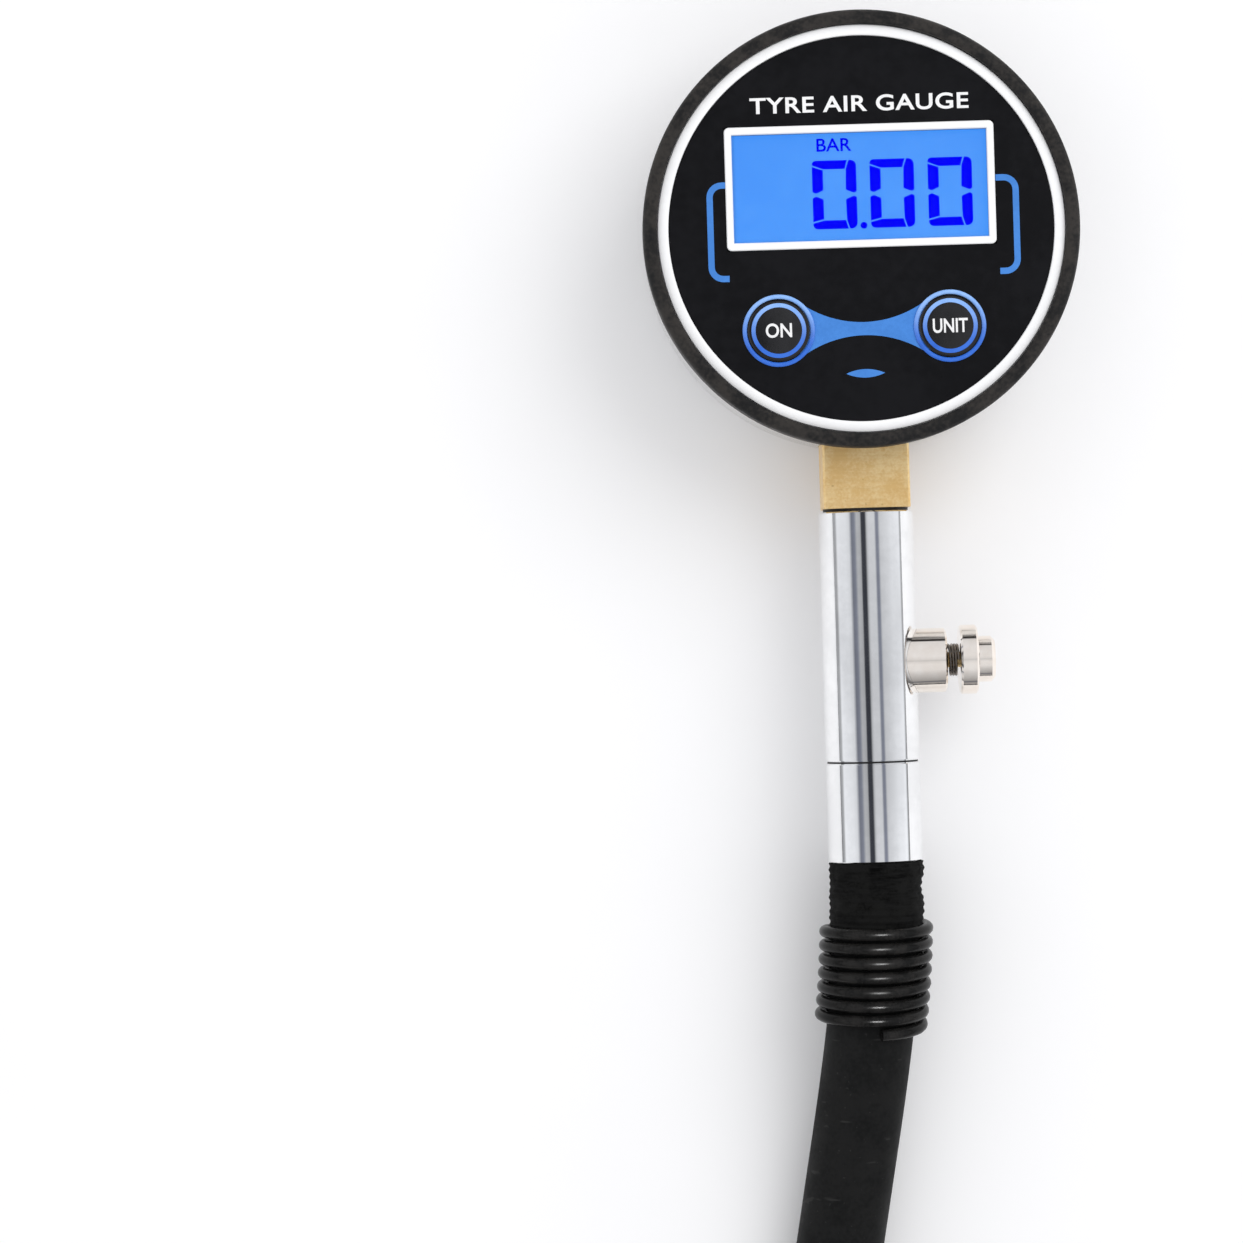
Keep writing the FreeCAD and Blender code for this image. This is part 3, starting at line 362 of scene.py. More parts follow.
def make_scratches():
    """Sparse hairline scratches and dust specks as a mask."""
    group, way_in, way_out = new_group("scratches", [
        ("Vector", VECTOR, None),
        ("Scale", FLOAT, 300.0),
        ("Amount", FLOAT, 0.5),
    ], [("Mask", FLOAT)])
    vector, scale = way_in.outputs["Vector"], way_in.outputs["Scale"]
    bent = group.nodes.new("ShaderNodeVectorMath")
    bent.operation = "MULTIPLY"
    bent.inputs[1].default_value = (0.12, 1.4, 0.6)
    group.links.new(vector, bent.inputs[0])
    hair = spread(group, noise(group, bent.outputs["Vector"], scale, 2.0), 0.66, 0.72)
    specks = spread(group, noise(group, vector, sums(group, "MULTIPLY", scale, 4.0), 1.0), 0.72, 0.78)
    mask = sums(group, "MULTIPLY", sums(group, "MAXIMUM", hair, specks), way_in.outputs["Amount"])
    group.links.new(mask, way_out.inputs["Mask"])
    return group


GROUPS = {
    "mottle": make_mottle(),
    "grain": make_grain(),
    "brushing": make_brushing(),
    "scratches": make_scratches(),
}


class Finish:
    """One material with a Principled shader, and helpers that place the shared groups in it."""

    def __init__(self, name, **uniform):
        self.name = name
        self.material = bpy.data.materials.new(name)
        self.material.use_nodes = True
        tree = self.material.node_tree
        self.nodes, self.links = tree.nodes, tree.links
        self.shader = self.nodes["Principled BSDF"]
        self.place = self.nodes.new("ShaderNodeTexCoord").outputs["Object"]
        self.set(**uniform)

    def set(self, **uniform):
        """Values that are the same all over, on the shader's own sockets."""
        for label, value in uniform.items():
            self.shader.inputs[label.replace("_", " ")].default_value = value

    def use(self, group, **values):
        """Place a shared group on Object coordinates with its own values."""
        node = self.nodes.new("ShaderNodeGroup")
        node.node_tree = GROUPS[group]
        self.links.new(self.place, node.inputs["Vector"])
        for label, value in values.items():
            node.inputs[label.replace("_", " ")].default_value = value
        return node.outputs

    def feed(self, socket, output):
        self.links.new(output, self.shader.inputs[socket])

    def bump(self, height, strength, distance):
        """Bump whose height is in the surface's own metres."""
        node = self.nodes.new("ShaderNodeBump")
        node.inputs["Strength"].default_value = strength
        node.inputs["Distance"].default_value = distance
        self.links.new(height, node.inputs["Height"])
        self.feed("Normal", node.outputs["Normal"])


def moulded(name, dark, light, smooth, rough, cloud=90.0, grain=2600.0, depth=0.03 * MM, **uniform):
    """Plastic, rubber or lacquer: cloudy colour, fine grain and patchy gloss."""
    finish = Finish(name, **uniform)
    colour = finish.use("mottle", Scale=cloud, First_Colour=dark, Second_Colour=light)
    finish.feed("Base Color", colour["Colour"])
    surface = finish.use("grain", Scale=grain, Smooth=smooth, Rough=rough)
    finish.feed("Roughness", surface["Roughness"])
    finish.bump(surface["Height"], 0.35, depth)
    return finish


def metal(name, dark, light, smooth, rough, stretch):
    """Metal with drawn or turned lines, small colour changes and patchy gloss."""
    finish = Finish(name, Metallic=1.0)
    colour = finish.use("mottle", Scale=60.0, First_Colour=dark, Second_Colour=light)
    brushing = finish.use("brushing", Scale=900.0, Stretch=stretch)
    surface = finish.use("grain", Scale=2400.0, Smooth=smooth, Rough=rough)
    tree = finish.material.node_tree
    darker = blended(tree, sums(tree, "MULTIPLY", brushing["Mask"], 0.18), colour["Colour"], dark)
    finish.feed("Base Color", darker)
    finish.feed("Roughness", surface["Roughness"])
    finish.bump(brushing["Height"], 0.3, 0.004 * MM)
    return finish


def rgb(red, green, blue):
    return (red, green, blue, 1.0)


def lit_display():
    """Backlit glass: an even blue, with painted shade from the window's rim along the left and bottom edges."""
    finish = Finish("lcd_blue", Roughness=0.35)
    tree = finish.material.node_tree
    split = finish.nodes.new("ShaderNodeSeparateXYZ")
    finish.links.new(finish.place, split.inputs["Vector"])
    left, low = -20.4 * MM, WINDOW_Y - 8.65 * MM
    # Painted shade: the emitted blue turns darker near the window's left and bottom edges, standing in for the shadow
    # of the window's rim on the recessed glass.
    shade_from_left = spread(tree, split.outputs["X"], left - 0.2 * MM, left + 0.8 * MM, 0.45, 1.0)
    shade_from_low = spread(tree, split.outputs["Y"], low - 0.2 * MM, low + 0.7 * MM, 0.55, 1.0)
    edge = sums(tree, "MULTIPLY", shade_from_left, shade_from_low)
    cloud = finish.use("mottle", Scale=45.0, First_Colour=rgb(0.052, 0.300, 0.97),
                       Second_Colour=rgb(0.062, 0.322, 1.0))
    colour = blended(tree, edge, rgb(0.02, 0.11, 0.45), cloud["Colour"])
    finish.feed("Emission Color", colour)
    finish.set(Emission_Strength=0.93, Base_Color=rgb(0.004, 0.02, 0.06))
    surface = finish.use("grain", Scale=1500.0, Smooth=0.3, Rough=0.4)
    finish.feed("Roughness", surface["Roughness"])
    return finish


def make_finishes():
    """Every material, under the record's slot names where it stands for one."""
    finishes = [
        moulded("floor", rgb(0.958, 0.954, 0.958), rgb(0.972, 0.968, 0.972), 0.66, 0.72, 3.0, 500.0, 0.005 * MM,
                Specular_IOR_Level=0.2),
        moulded("bezel_rubber", rgb(0.011, 0.011, 0.0115), rgb(0.036, 0.032, 0.029), 0.45, 0.65, 170.0, 3200.0,
                0.05 * MM, Specular_IOR_Level=0.22),
        moulded("white_plastic", rgb(0.92, 0.92, 0.925), rgb(0.96, 0.96, 0.965), 0.30, 0.44),
        moulded("black_plastic", rgb(0.014, 0.014, 0.015), rgb(0.026, 0.026, 0.028), 0.45, 0.65),
        moulded("key_black", rgb(0.004, 0.004, 0.005), rgb(0.009, 0.009, 0.011), 0.20, 0.32),
        moulded("light_guide", rgb(0.50, 0.70, 0.95), rgb(0.60, 0.80, 1.0), 0.3, 0.4),
        moulded("board_green", rgb(0.012, 0.13, 0.05), rgb(0.022, 0.19, 0.08), 0.35, 0.5, 400.0),
        moulded("chip_black", rgb(0.016, 0.016, 0.017), rgb(0.026, 0.026, 0.027), 0.5, 0.65),
        moulded("cell_jacket", rgb(0.01, 0.04, 0.012), rgb(0.016, 0.06, 0.02), 0.3, 0.4),
        moulded("seal_rubber", rgb(0.010, 0.010, 0.011), rgb(0.022, 0.021, 0.020), 0.5, 0.7),
        moulded("display_ink", rgb(0.0, 0.0, 0.30), rgb(0.0, 0.0, 0.40), 0.4, 0.5, 400.0, Specular_IOR_Level=0.0,
                Emission_Color=rgb(0.0, 0.0, 1.0), Emission_Strength=0.72),
        moulded("print_white", rgb(0.84, 0.84, 0.84), rgb(0.90, 0.90, 0.90), 0.4, 0.5, 400.0),
        moulded("print_blue", rgb(0.050, 0.215, 0.63), rgb(0.060, 0.245, 0.70), 0.4, 0.5, 200.0,
                Specular_IOR_Level=0.3),
        metal("polished_steel", rgb(0.70, 0.695, 0.68), rgb(0.77, 0.765, 0.755), 0.15, 0.20, (1, 1, 0.05)),
        metal("chrome", rgb(0.86, 0.865, 0.87), rgb(0.95, 0.955, 0.96), 0.035, 0.075, (1, 0.04, 1)),
        metal("nickel", rgb(0.93, 0.85, 0.77), rgb(1.0, 0.94, 0.87), 0.05, 0.10, (0.05, 1, 1)),
        metal("contact_nickel", rgb(0.66, 0.64, 0.60), rgb(0.78, 0.75, 0.70), 0.2, 0.35, (1, 0.1, 1)),
        metal("spring_steel", rgb(0.12, 0.11, 0.10), rgb(0.30, 0.27, 0.24), 0.25, 0.4, (1, 0.1, 0.1)),
        metal("screw_steel", rgb(0.42, 0.42, 0.43), rgb(0.60, 0.60, 0.61), 0.22, 0.4, (1, 1, 0.1)),
    ]
    finishes += [key_blue(), lit_display(), face_sheet(), clear_pane(), brass(), guard_wire(), textile(), rubber_hose()]
    return {finish.name: finish.material for finish in finishes}


def key_blue():
    """Blue of the keys' rings, with a painted highlight: paler towards the top of each ring."""
    finish = moulded("key_blue", rgb(0.018, 0.120, 0.60), rgb(0.030, 0.160, 0.70), 0.22, 0.34)
    tree = finish.material.node_tree
    split = finish.nodes.new("ShaderNodeSeparateXYZ")
    finish.links.new(finish.place, split.inputs["Vector"])
    middle = KEYS["on"].y
    # Painted highlight: towards +Y the blue blends into a pale blue, standing in for light on the rings' upper sides.
    painted_top_highlight = spread(tree, split.outputs["Y"], middle - 3.5 * MM, middle + 5.2 * MM)
    cloud = finish.use("mottle", Scale=300.0, First_Colour=rgb(0.24, 0.46, 0.92), Second_Colour=rgb(0.30, 0.52, 0.96))
    deep = finish.shader.inputs["Base Color"].links[0].from_socket
    finish.feed("Base Color", blended(tree, painted_top_highlight, deep, cloud["Colour"]))
    return finish


def face_sheet():
    """Satin black sheet with soft uneven gloss and a little dust."""
    return moulded("face_black", rgb(0.0035, 0.0035, 0.0045), rgb(0.0065, 0.0065, 0.0080), 0.24, 0.46, 60.0, 900.0,
                   0.006 * MM, Specular_IOR_Level=0.14)


def clear_pane():
    """Clear plastic over the display."""
    finish = Finish("clear_pane", Metallic=0.0, Transmission_Weight=1.0, IOR=1.12)
    surface = finish.use("grain", Scale=900.0, Smooth=0.0, Rough=0.025)
    finish.feed("Roughness", surface["Roughness"])
    tint = finish.use("mottle", Scale=30.0, First_Colour=rgb(0.97, 0.98, 1.0), Second_Colour=rgb(1, 1, 1))
    finish.feed("Base Color", tint["Colour"])
    return finish


def brass():
    """Machined brass: ochre with darker speckle, brushed across."""
    finish = Finish("brass", Metallic=0.55)
    tree = finish.material.node_tree
    cloud = finish.use("mottle", Scale=260.0, First_Colour=rgb(0.86, 0.57, 0.23), Second_Colour=rgb(0.98, 0.74, 0.38))
    brushing = finish.use("brushing", Scale=1700.0, Stretch=(0.10, 1.0, 1.0))
    stains = finish.use("scratches", Scale=230.0, Amount=0.55)
    worn = blended(tree, sums(tree, "MULTIPLY", brushing["Mask"], 0.35), cloud["Colour"], rgb(0.74, 0.46, 0.17))
    finish.feed("Base Color", blended(tree, stains["Mask"], worn, rgb(0.52, 0.29, 0.09)))
    surface = finish.use("grain", Scale=2600.0, Smooth=0.34, Rough=0.52)
    finish.feed("Roughness", surface["Roughness"])
    finish.bump(brushing["Height"], 0.5, 0.02 * MM)
    return finish


def guard_wire():
    """Black lacquered spring wire, half gloss."""
    return moulded("black_wire", rgb(0.002, 0.002, 0.002), rgb(0.006, 0.0057, 0.0055), 0.20, 0.32, 300.0, 2800.0,
                   0.02 * MM, Specular_IOR_Level=0.10)


def textile():
    """Black woven sleeve: yarns across and along, with a dry fuzzy look."""
    finish = Finish("textile", Sheen_Weight=0.03, Sheen_Roughness=0.5, Specular_IOR_Level=0.03)
    tree = finish.material.node_tree
    cloud = finish.use("mottle", Scale=350.0, First_Colour=rgb(0.002, 0.002, 0.002),
                       Second_Colour=rgb(0.010, 0.010, 0.0095))
    yarn = finish.use("brushing", Scale=1900.0, Stretch=(0.12, 1.0, 0.12))
    across = finish.use("brushing", Scale=2300.0, Stretch=(1.0, 0.3, 1.0))
    finish.feed("Base Color", blended(tree, yarn["Mask"], cloud["Colour"], rgb(0.010, 0.010, 0.010)))
    surface = finish.use("grain", Scale=4000.0, Smooth=0.75, Rough=0.95)
    finish.feed("Roughness", surface["Roughness"])
    height = sums(tree, "ADD", yarn["Height"], sums(tree, "MULTIPLY", across["Height"], 0.5))
    finish.bump(height, 0.9, 0.12 * MM)
    return finish


def rubber_hose():
    """Matt black rubber with faint lengthwise marks and dust."""
    finish = Finish("hose_rubber", Specular_IOR_Level=0.07)
    tree = finish.material.node_tree
    cloud = finish.use("mottle", Scale=160.0, First_Colour=rgb(0.0075, 0.0078, 0.0078),
                       Second_Colour=rgb(0.0125, 0.0125, 0.0125))
    dust = finish.use("scratches", Scale=420.0, Amount=0.16)
    finish.feed("Base Color", blended(tree, dust["Mask"], cloud["Colour"], rgb(0.09, 0.088, 0.085)))
    surface = finish.use("grain", Scale=2200.0, Smooth=0.48, Rough=0.66)
    finish.feed("Roughness", surface["Roughness"])
    finish.bump(surface["Height"], 0.35, 0.04 * MM)
    return finish


for plain in bpy.data.materials:
    plain.name = "plain_" + plain.name
FINISH = make_finishes()


# ---------------------------------------------------------------- modelling helpers


def only(piece):
    """Leave one object selected and active."""
    bpy.ops.object.select_all(action="DESELECT")
    piece.select_set(True)
    bpy.context.view_layer.objects.active = piece


def settle(piece):
    """Put the place of a mesh into its points, with its object at the origin."""
    only(piece)
    bpy.ops.object.transform_apply(location=True, rotation=True, scale=True)
    return piece


def dressed(piece, name, finish, body, smooth=35):
    """Name, shade, paint and mount a finished piece."""
    piece.name = name
    piece.data.name = name
    settle(piece)
    if smooth:
        bpy.ops.object.shade_smooth_by_angle(angle=math.radians(smooth))
    piece.data.materials.clear()
    piece.data.materials.append(FINISH[finish])
    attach(piece, body)


def turned(outline, base, axis=UP, steps=160):
    """Ring drawn out of a circle, edge loop by edge loop, through (radius, distance) points.

    A radius of 0 closes the end on the axis; an outline that returns to its first point
    closes into a ring.
    """
    bpy.ops.object.select_all(action="DESELECT")
    radius, distance = outline[0]
    bpy.ops.mesh.primitive_circle_add(
        vertices=steps, radius=radius, location=base + axis * distance,
        rotation=axis.to_track_quat("Z", "Y").to_euler())
    piece = bpy.context.object
    bpy.ops.object.mode_set(mode="EDIT")
    for next_radius, next_distance in outline[1:]:
        move = axis * (next_distance - distance)
        bpy.ops.mesh.extrude_region_move(TRANSFORM_OT_translate={"value": move})
        if next_radius == 0:
            bpy.ops.mesh.merge(type="CENTER")
            break
        bpy.ops.transform.resize(value=(next_radius / radius,) * 3)
        radius, distance = next_radius, next_distance
    bpy.ops.mesh.select_all(action="SELECT")
    bpy.ops.mesh.remove_doubles(threshold=0.001 * MM)
    bpy.ops.mesh.normals_make_consistent(inside=False)
    bpy.ops.object.mode_set(mode="OBJECT")
    return piece


def arc(centre, radius, start, end, count):
    """(radius, distance) points of an arc in the outline's plane, angles in degrees."""
    angles = [math.radians(start + (end - start) * step / count) for step in range(count + 1)]
    return [(centre[0] + radius * math.cos(a), centre[1] + radius * math.sin(a)) for a in angles]


def rounded(outline, count=8):
    """Points of a flat outline in mm whose (x, y, r) corners are rounded to r."""
    points = []
    for index, corner in enumerate(outline):
        place = Vector(corner[:2])
        if len(corner) == 2:
            points.append(place)
            continue
        back = (Vector(outline[index - 1][:2]) - place).normalized()
        ahead = (Vector(outline[(index + 1) % len(outline)][:2]) - place).normalized()
        half = back.angle(ahead) / 2
        centre = place + (back + ahead).normalized() * (corner[2] / math.sin(half))
        first = place + back * (corner[2] / math.tan(half)) - centre
        turn = first.angle_signed(place + ahead * (corner[2] / math.tan(half)) - centre)
        for step in range(count + 1):
            points.append(centre + Matrix.Rotation(-turn * step / count, 2) @ first)
    return points


def flat_print(outlines, base, thickness):
    """Thin plate over flat outlines in mm, made from a filled flat curve."""
    curve = bpy.data.curves.new("print", "CURVE")
    curve.dimensions = "2D"
    curve.fill_mode = "BOTH"
    curve.extrude = thickness / 2
    for outline in outlines:
        spline = curve.splines.new("POLY")
        spline.points.add(len(outline) - 1)
        for point, place in zip(spline.points, outline):
            point.co = (place[0] * MM, place[1] * MM, 0, 1)
        spline.use_cyclic_u = True
    piece = bpy.data.objects.new("print", curve)
    bpy.context.scene.collection.objects.link(piece)
    return meshed(piece, Vector(base) + UP * (thickness / 2))


def meshed(piece, place):
    """Turn a text or flat curve into a mesh, then move it into place."""
    only(piece)
    bpy.ops.object.convert(target="MESH")
    piece = bpy.context.object
    bpy.ops.object.mode_set(mode="EDIT")
    bpy.ops.mesh.select_all(action="SELECT")
    bpy.ops.mesh.remove_doubles(threshold=0.002 * MM)
    bpy.ops.object.mode_set(mode="OBJECT")
    piece.location = place
    return piece


def lettering(text, width, height, base, thickness, weight=0.0, spacing=1.0):
    """Raised lettering centred on a point, stretched to a width and a capital height in mm."""
    bpy.ops.object.select_all(action="DESELECT")
    bpy.ops.object.text_add(location=(0, 0, 0))
    piece = bpy.context.object
    words = piece.data
    words.body = text
    words.size = 1.0
    words.offset = weight
    words.space_character = spacing
    words.extrude = 0.01
    words.resolution_u = 6
    words.align_x = "CENTER"
    piece = meshed(piece, (0, 0, 0))
    lows = [min(v.co[axis] for v in piece.data.vertices) for axis in range(3)]
    highs = [max(v.co[axis] for v in piece.data.vertices) for axis in range(3)]
    middle = [(low + high) / 2 for low, high in zip(lows, highs)]
    size = [high - low for low, high in zip(lows, highs)]
    piece.scale = (width * MM / size[0], height * MM / size[1], thickness / size[2])
    offset = Vector(-middle[axis] * piece.scale[axis] for axis in range(3))
    piece.location = Vector(base) + offset + UP * (thickness / 2)
    return piece


# ---------------------------------------------------------------- hose


def air_hose():
    """The rubber hose along its route."""
    curve = bpy.data.curves.new("hose", "CURVE")
    curve.dimensions = "3D"
    spline = curve.splines.new("NURBS")
    spline.points.add(len(HOSE_ROUTE) - 1)
    for point, place in zip(spline.points, HOSE_ROUTE):
        point.co = (*[value * MM for value in place], 1.0)
    spline.order_u = 3
    spline.use_endpoint_u = True
    curve.resolution_u = 16
    curve.bevel_depth = HOSE_R
    curve.bevel_resolution = 14
    hose = bpy.data.objects.new("rubber_hose", curve)
    bpy.context.scene.collection.objects.link(hose)
    curve.materials.append(FINISH["hose_rubber"])
    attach(hose, "gauge")
    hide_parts("air_hose")
    return hose


def hose_line(hose):
    """Points along the middle of the hose, read from its own spline."""
    bare = hose.data.copy()
    bare.bevel_depth = 0
    bare.resolution_u = 64
    probe = bpy.data.objects.new("probe", bare)
    bpy.context.scene.collection.objects.link(probe)
    mesh = bpy.data.meshes.new_from_object(probe)
    points = [vertex.co.copy() for vertex in mesh.vertices]
    bpy.data.objects.remove(probe)
    bpy.data.meshes.remove(mesh)
    bpy.data.curves.remove(bare)
    return points


def along(line, distance):
    """Point, side and up at a distance along the hose's middle."""
    for start, end in zip(line, line[1:]):
        step = (end - start).length
        if distance <= step:
            break
        distance -= step
    ahead = (end - start).normalized()
    side = ahead.cross(UP).normalized() * -1
    return start + ahead * distance, side, ahead.cross(side)


# ---------------------------------------------------------------- gauge head


def in_metres(points):
    """Outline given in millimetres, in metres."""
    return [(radius * MM, height * MM) for radius, height in points]


def bezel_ring():
    """Black ring on the rim of the can: soft rounded top, lip inside, skirt in the can."""
    outline = in_metres([
        (33.0, 21.2), (33.85, 21.2), (33.85, 23.0), (34.8, 23.0), (35.0, 23.2), (35.0, 26.0),
        *arc((33.8, 27.75), 1.2, 0, 60, 6), (34.0, 28.92), (33.5, 29.0), (33.0, 28.98),
        *arc((32.95, 28.7), 0.25, 90, 180, 4), (32.7, 27.5), (33.7, 27.5), (33.7, 25.2), (33.0, 25.2), (33.0, 21.2),
    ])
    ring = turned(outline, Vector((0, 0, 0)), steps=RING_STEPS)
    dressed(ring, "bezel_soft_ring", "bezel_rubber", "gauge")
    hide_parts("bezel_ring")


def dial_ring():
    """White ring round the face: domed, and highest near its inner edge."""
    outline = in_metres([
        (30.85, 26.25), (33.6, 26.25), (33.6, 27.45), (32.64, 27.45), (32.62, 27.9), (32.5, 28.1), (32.2, 28.22),
        (31.8, 28.32), (31.3, 28.37), (31.05, 28.35), (30.9, 28.25), (30.85, 28.1), (30.85, 26.25),
    ])
    ring = turned(outline, Vector((0, 0, 0)), steps=RING_STEPS)
    dressed(ring, "dial_white_ring", "white_plastic", "gauge")
    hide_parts("dial_ring")


def key_dome(radius):
    """Height of a key's domed top at a distance from its middle."""
    edge, rise = 4.7 * MM, 0.25 * MM
    sphere = (edge ** 2 + rise ** 2) / (2 * rise)
    return KEY_TOP - sphere + math.sqrt(sphere ** 2 - min(radius, edge) ** 2)


def key_prints(name, label, width):
    """Printed ring and white label that lie on the dome of one key."""
    middle = Vector((KEYS[name].x, KEYS[name].y, 0))
    body = name + "_key"
    inner, outer = 3.72 * MM, 4.38 * MM
    loops = [(inner, -PRINT_T), (inner, PRINT_T), ((inner + outer) / 2, PRINT_T), (outer, PRINT_T), (outer, -PRINT_T)]
    outline = [(radius, key_dome(radius) + lift) for radius, lift in loops]
    ring = turned(outline + outline[:1], middle, steps=96)
    dressed(ring, name + "_printed_ring", "key_blue", body)
    text = lettering(label, width, 2.3, middle + UP * KEY_TOP, PRINT_T, weight=0.018)
    settle(text)
    for vertex in text.data.vertices:
        reach = (vertex.co.xy - middle.xy).length
        vertex.co.z += key_dome(reach) - KEY_TOP
    dressed(text, name + "_label", "print_white", body, smooth=0)


def zero_digit(x, y):
    """Six lit segments of a seven-segment 0, as outlines in mm."""
    upper_right = [(2.36, 5.5), (3.55, 5.5, 0.95), (3.55, 0.5, 0.25), (3.1, 0.22, 0.12), (1.8, 0.78, 0.12), (1.88, 4.1)]
    segments = [
        [(-3.55, 4.8), (-3.55, 5.5, 0.65), (2.12, 5.5), (1.68, 4.1), (-1.76, 4.1)],
        upper_right,
        [(px, -py, *rest) for px, py, *rest in upper_right],
        [(-3.55, 4.54), (-1.8, 3.93), (-1.8, 0.76, 0.12), (-2.95, 0.22, 0.12), (-3.55, 0.5, 0.2)],
        [(-3.55, -4.32), (-1.8, -3.88), (-1.8, -0.76, 0.12), (-2.95, -0.22, 0.12), (-3.55, -0.5, 0.2)],
        [(-3.55, -4.56), (-3.55, -5.5, 0.8), (2.12, -5.5), (1.68, -4.1), (-1.76, -4.1)],
    ]
    return [[place + Vector((x, y)) for place in rounded(segment)] for segment in segments]


def display_reading():
    """Reading of 0.00 and its unit on the glass."""
    outlines = [segment for x in (-4.0, 5.25, 14.55) for segment in zero_digit(x, 5.7)]
    dot = [(0.55 + 0.55 * math.cos(a * math.pi / 12), 0.65 + 0.55 * math.sin(a * math.pi / 12)) for a in range(24)]
    digits = flat_print(outlines + [dot], (0, 0, GLASS_TOP), DISPLAY_INK_T)
    dressed(digits, "display_digits", "display_ink", "gauge", smooth=0)
    unit = lettering("BAR", 5.6, 2.1, (-3.9 * MM, 13.7 * MM, GLASS_TOP), DISPLAY_INK_T, weight=0.012)
    dressed(unit, "display_unit", "display_ink", "gauge", smooth=0)


def waist(middle_y, key, ring_r, steps=24):
    """Arc that touches both key rings and passes a height on the centre line, left to right."""
    rise = abs(middle_y - key.y)
    radius = (key.x ** 2 + rise ** 2 - ring_r ** 2) / (2 * (ring_r - rise))
    above = 1 if middle_y > key.y else -1
    centre = Vector((0, middle_y + above * radius))
    reach = math.atan2(abs(key.x), abs(centre.y - key.y))
    angles = [reach * (2 * step / steps - 1) for step in range(steps + 1)]
    return [centre + Vector((radius * math.sin(a), -above * radius * math.cos(a))) for a in angles]


def face_prints():
    """Blue brackets, the link between the keys, the small lens mark and the title."""
    corner, side, line_w = 7.975, 25.32, 1.0
    upper_end, lower_end, mirror_shift = 21.65, 22.0, 0.7
    bracket = [
        (upper_end, corner), (side, corner, 2.4), (side, -corner, 2.4), (lower_end, -corner),
        (lower_end, -corner + line_w), (side - line_w, -corner + line_w, 1.4),
        (side - line_w, corner - line_w, 1.4), (upper_end, corner - line_w),
    ]
    mirrored = [(mirror_shift - x, y, *rest) for x, y, *rest in reversed(bracket)]
    key = Vector((KEYS["mode"].x, KEYS["mode"].y)) / MM
    link = waist(-15.0, key, 5.6) + list(reversed(waist(-17.1, key, 5.6)))
    half, rise, lens_y = 3.1, 0.68, -23.2
    bow = (half ** 2 + rise ** 2) / (2 * rise)
    steps = [half * (step / 8 - 1) for step in range(17)]
    upper = [Vector((x, lens_y + rise - bow + math.sqrt(bow ** 2 - x ** 2))) for x in steps]
    lower = [Vector((x, 2 * lens_y - y)) for x, y in reversed(upper[1:-1])]
    outlines = [rounded(bracket), rounded(mirrored), link, upper + lower]
    blue = flat_print(outlines, (0, 0, FACE_TOP), PRINT_T)
    dressed(blue, "face_blue_print", "print_blue", "gauge", smooth=0)
    title = lettering(
        "TYRE AIR GAUGE", 35.0, 2.6, (0.2 * MM, 20.0 * MM, FACE_TOP), PRINT_T, weight=0.018, spacing=1.06)
    dressed(title, "face_title", "print_white", "gauge", smooth=0)


# ---------------------------------------------------------------- springs and sleeve


def wire_coil(places, wire_r, sides=5):
    """Round wire through a run of points, as a mesh with closed ends."""
    curve = bpy.data.curves.new("wire", "CURVE")
    curve.dimensions = "3D"
    spline = curve.splines.new("NURBS")
    spline.points.add(len(places) - 1)
    for point, place in zip(spline.points, places):
        point.co = (*place, 1.0)
    spline.order_u = 4
    spline.use_endpoint_u = True
    curve.resolution_u = 2
    curve.bevel_depth = wire_r
    curve.bevel_resolution = sides
    curve.use_fill_caps = True
    piece = bpy.data.objects.new("wire", curve)
    bpy.context.scene.collection.objects.link(piece)
    return meshed(piece, (0, 0, 0))


def spring_guard(line):
    """Coil spring round the hose below the sleeve; its lower end stops on the front."""
    centre_r = GUARD_R - GUARD_WIRE / 2
    places = []
    for degrees in range(GUARD_FROM, GUARD_TO + 1, 12):
        distance = GUARD_START + GUARD_PITCH * (degrees - GUARD_FROM) / 360
        centre, _, up = along(line, distance)
        angle = math.radians(degrees)
        places.append(centre + (GUARD_LEAN * math.cos(angle) + up * math.sin(angle)) * centre_r)
    guard = wire_coil(places, GUARD_WIRE / 2)
    dressed(guard, "guard_spring", "black_wire", "gauge", smooth=60)
    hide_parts("spring_guard")
    return guard


def bleed_spring():
    """Return spring with close turns behind the button and open turns in the housing."""
    low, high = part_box("bleed_spring")
    wire_r = 0.21 * MM
    centre_r = (high.y - low.y) / 2 - wire_r
    close_turns, open_turns, steps = 3, 3.25, 20
    close_length = close_turns * 2.1 * wire_r
    open_length = high.x - low.x - 2 * wire_r - close_length
    places = []
    for step in range(int((close_turns + open_turns) * steps) + 1):
        turn = step / steps
        if turn < open_turns:
            x = low.x + wire_r + open_length * turn / open_turns
        else:
            x = low.x + wire_r + open_length + close_length * (turn - open_turns) / close_turns
        angle = math.tau * turn
        places.append(Vector((x, BLEED_Y + centre_r * math.cos(angle), STEM_Z + centre_r * math.sin(angle))))
    spring = wire_coil(places, wire_r, sides=3)
    dressed(spring, "bleed_return_spring", "spring_steel", "gauge", smooth=60)
    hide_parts("bleed_spring")
    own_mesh(spring)


def sleeve_surface(distance, angle, length):
    """Radius of the sleeve: close ribs, soft folds, and a pinch on its right side."""
    across = 0.5 + 0.5 * math.cos(math.tau * distance / SLEEVE_RIB + 0.8 * math.sin(angle) + 0.5 * math.sin(3 * angle))
    place = Vector((math.cos(angle) * 3, math.sin(angle) * 3, distance / (2.2 * MM)))
    folds = noise_field.noise(place) + 0.5 * noise_field.noise(place * 2.7)
    right = max(0.0, math.cos(angle)) ** 3
    pinch = right * math.cos(math.tau * (distance / length - 0.72) / 0.62)
    return SLEEVE_R + (0.20 * across + 0.16 * folds + 0.26 * pinch - 0.16) * MM


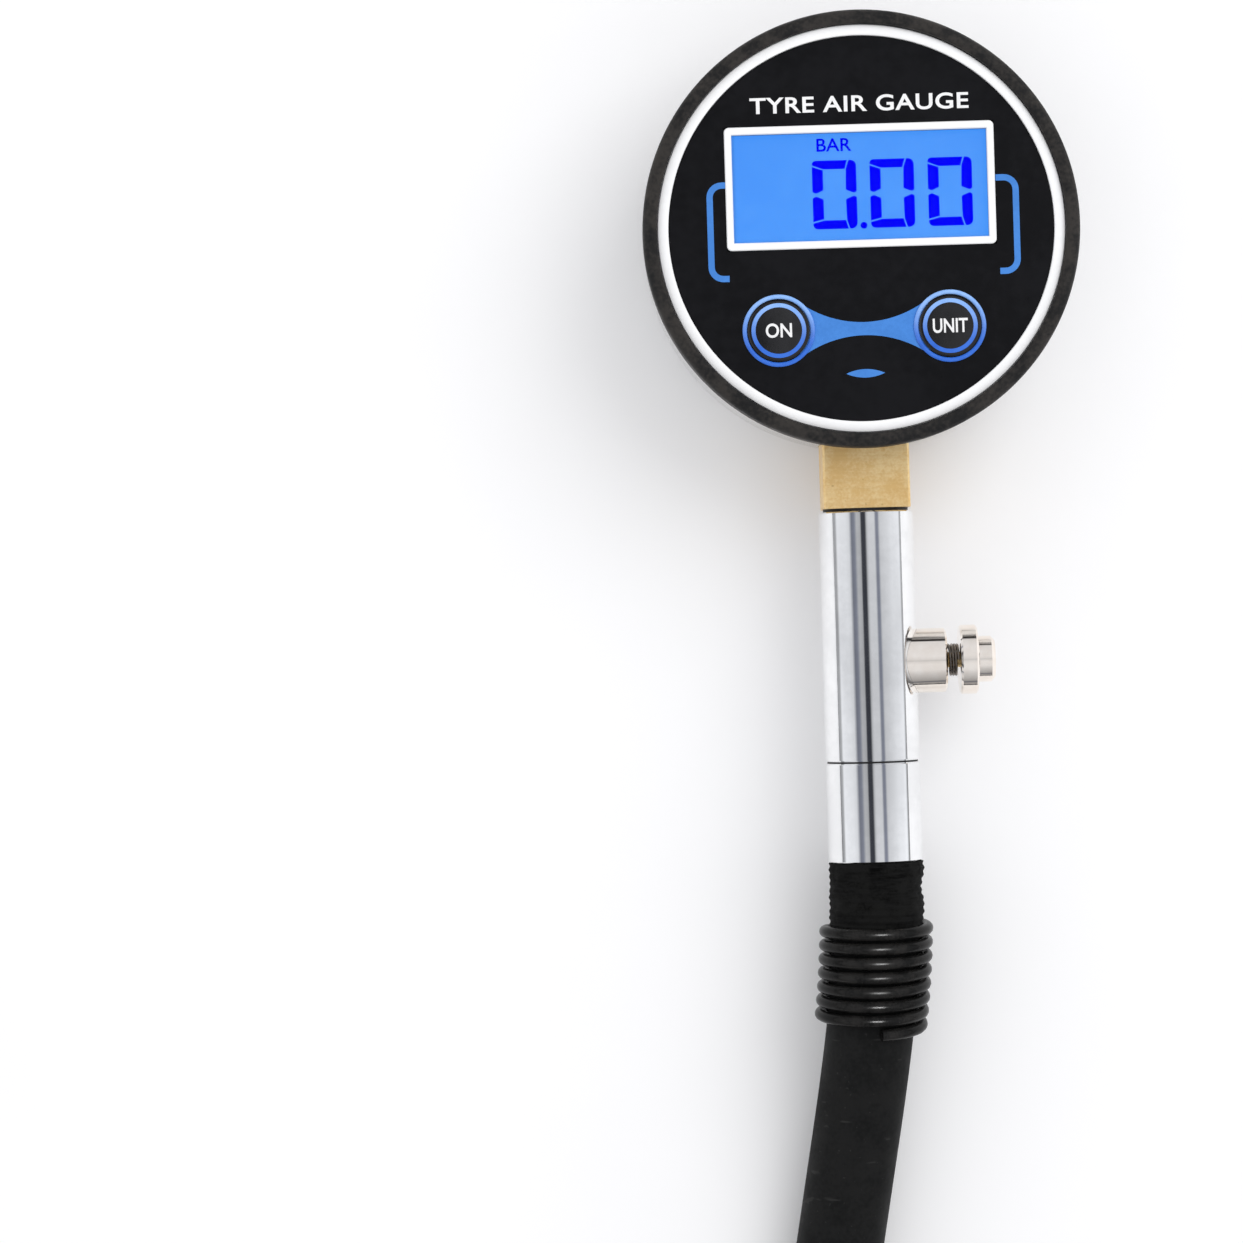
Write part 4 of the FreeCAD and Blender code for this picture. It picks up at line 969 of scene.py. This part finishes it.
def fabric_sleeve(line):
    """Textile sleeve drawn over the hose end, from the collar to the guard."""
    length = SLEEVE_LENGTH
    bpy.ops.object.select_all(action="DESELECT")
    bpy.ops.mesh.primitive_cylinder_add(vertices=144, radius=SLEEVE_R, depth=length, end_fill_type="NOTHING")
    sleeve = bpy.context.object
    bpy.ops.object.mode_set(mode="EDIT")
    bpy.ops.mesh.select_all(action="DESELECT")
    sides = bmesh.from_edit_mesh(sleeve.data)
    for edge in sides.edges:
        edge.select_set(abs(edge.verts[0].co.z - edge.verts[1].co.z) > length / 2)
    bmesh.update_edit_mesh(sleeve.data)
    bpy.ops.mesh.subdivide(number_cuts=79)
    bpy.ops.object.mode_set(mode="OBJECT")
    for vertex in sleeve.data.vertices:
        angle = math.atan2(vertex.co.y, vertex.co.x)
        share = 0.5 - vertex.co.z / length
        ragged = 0.16 * MM * noise_field.noise(Vector((math.cos(angle) * 6, math.sin(angle) * 6, 9 * share)))
        distance = 0.12 * MM + share * length + ragged * (2 * share - 1) ** 2
        centre, side, up = along(line, distance)
        radius = sleeve_surface(distance, angle, length)
        vertex.co = centre + (side * math.cos(angle) + up * math.sin(angle)) * radius
    only(sleeve)
    bpy.ops.object.mode_set(mode="EDIT")
    bpy.ops.mesh.select_all(action="SELECT")
    bpy.ops.mesh.normals_make_consistent(inside=False)
    bpy.ops.object.mode_set(mode="OBJECT")
    wall = sleeve.modifiers.new("wall", "SOLIDIFY")
    wall.thickness = 0.3 * MM
    wall.offset = -1
    bpy.ops.object.modifier_apply(modifier=wall.name)
    dressed(sleeve, "woven_sleeve", "textile", "gauge", smooth=60)
    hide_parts("fabric_sleeve")


# ---------------------------------------------------------------- build


add_camera()
studio_sky()
add_floor()
softbox("window_light", (0.55, 0.45, 0.9), (0, -0.05, 0), 0.8, 4.0)

for part in frame["record"]["subparts"]:
    for place in frame["nodes"][part["node"]].material_slots:
        place.material = FINISH[part["material_slot"]]

hose = air_hose()
line = hose_line(hose)
guard = spring_guard(line)
glint_light(guard)
fabric_sleeve(line)
bleed_spring()
bezel_ring()
dial_ring()
display_reading()
face_prints()
key_prints("on", "ON", 4.2)
key_prints("mode", "UNIT", 5.6)

bpy.context.scene.view_settings.view_transform = "Standard"
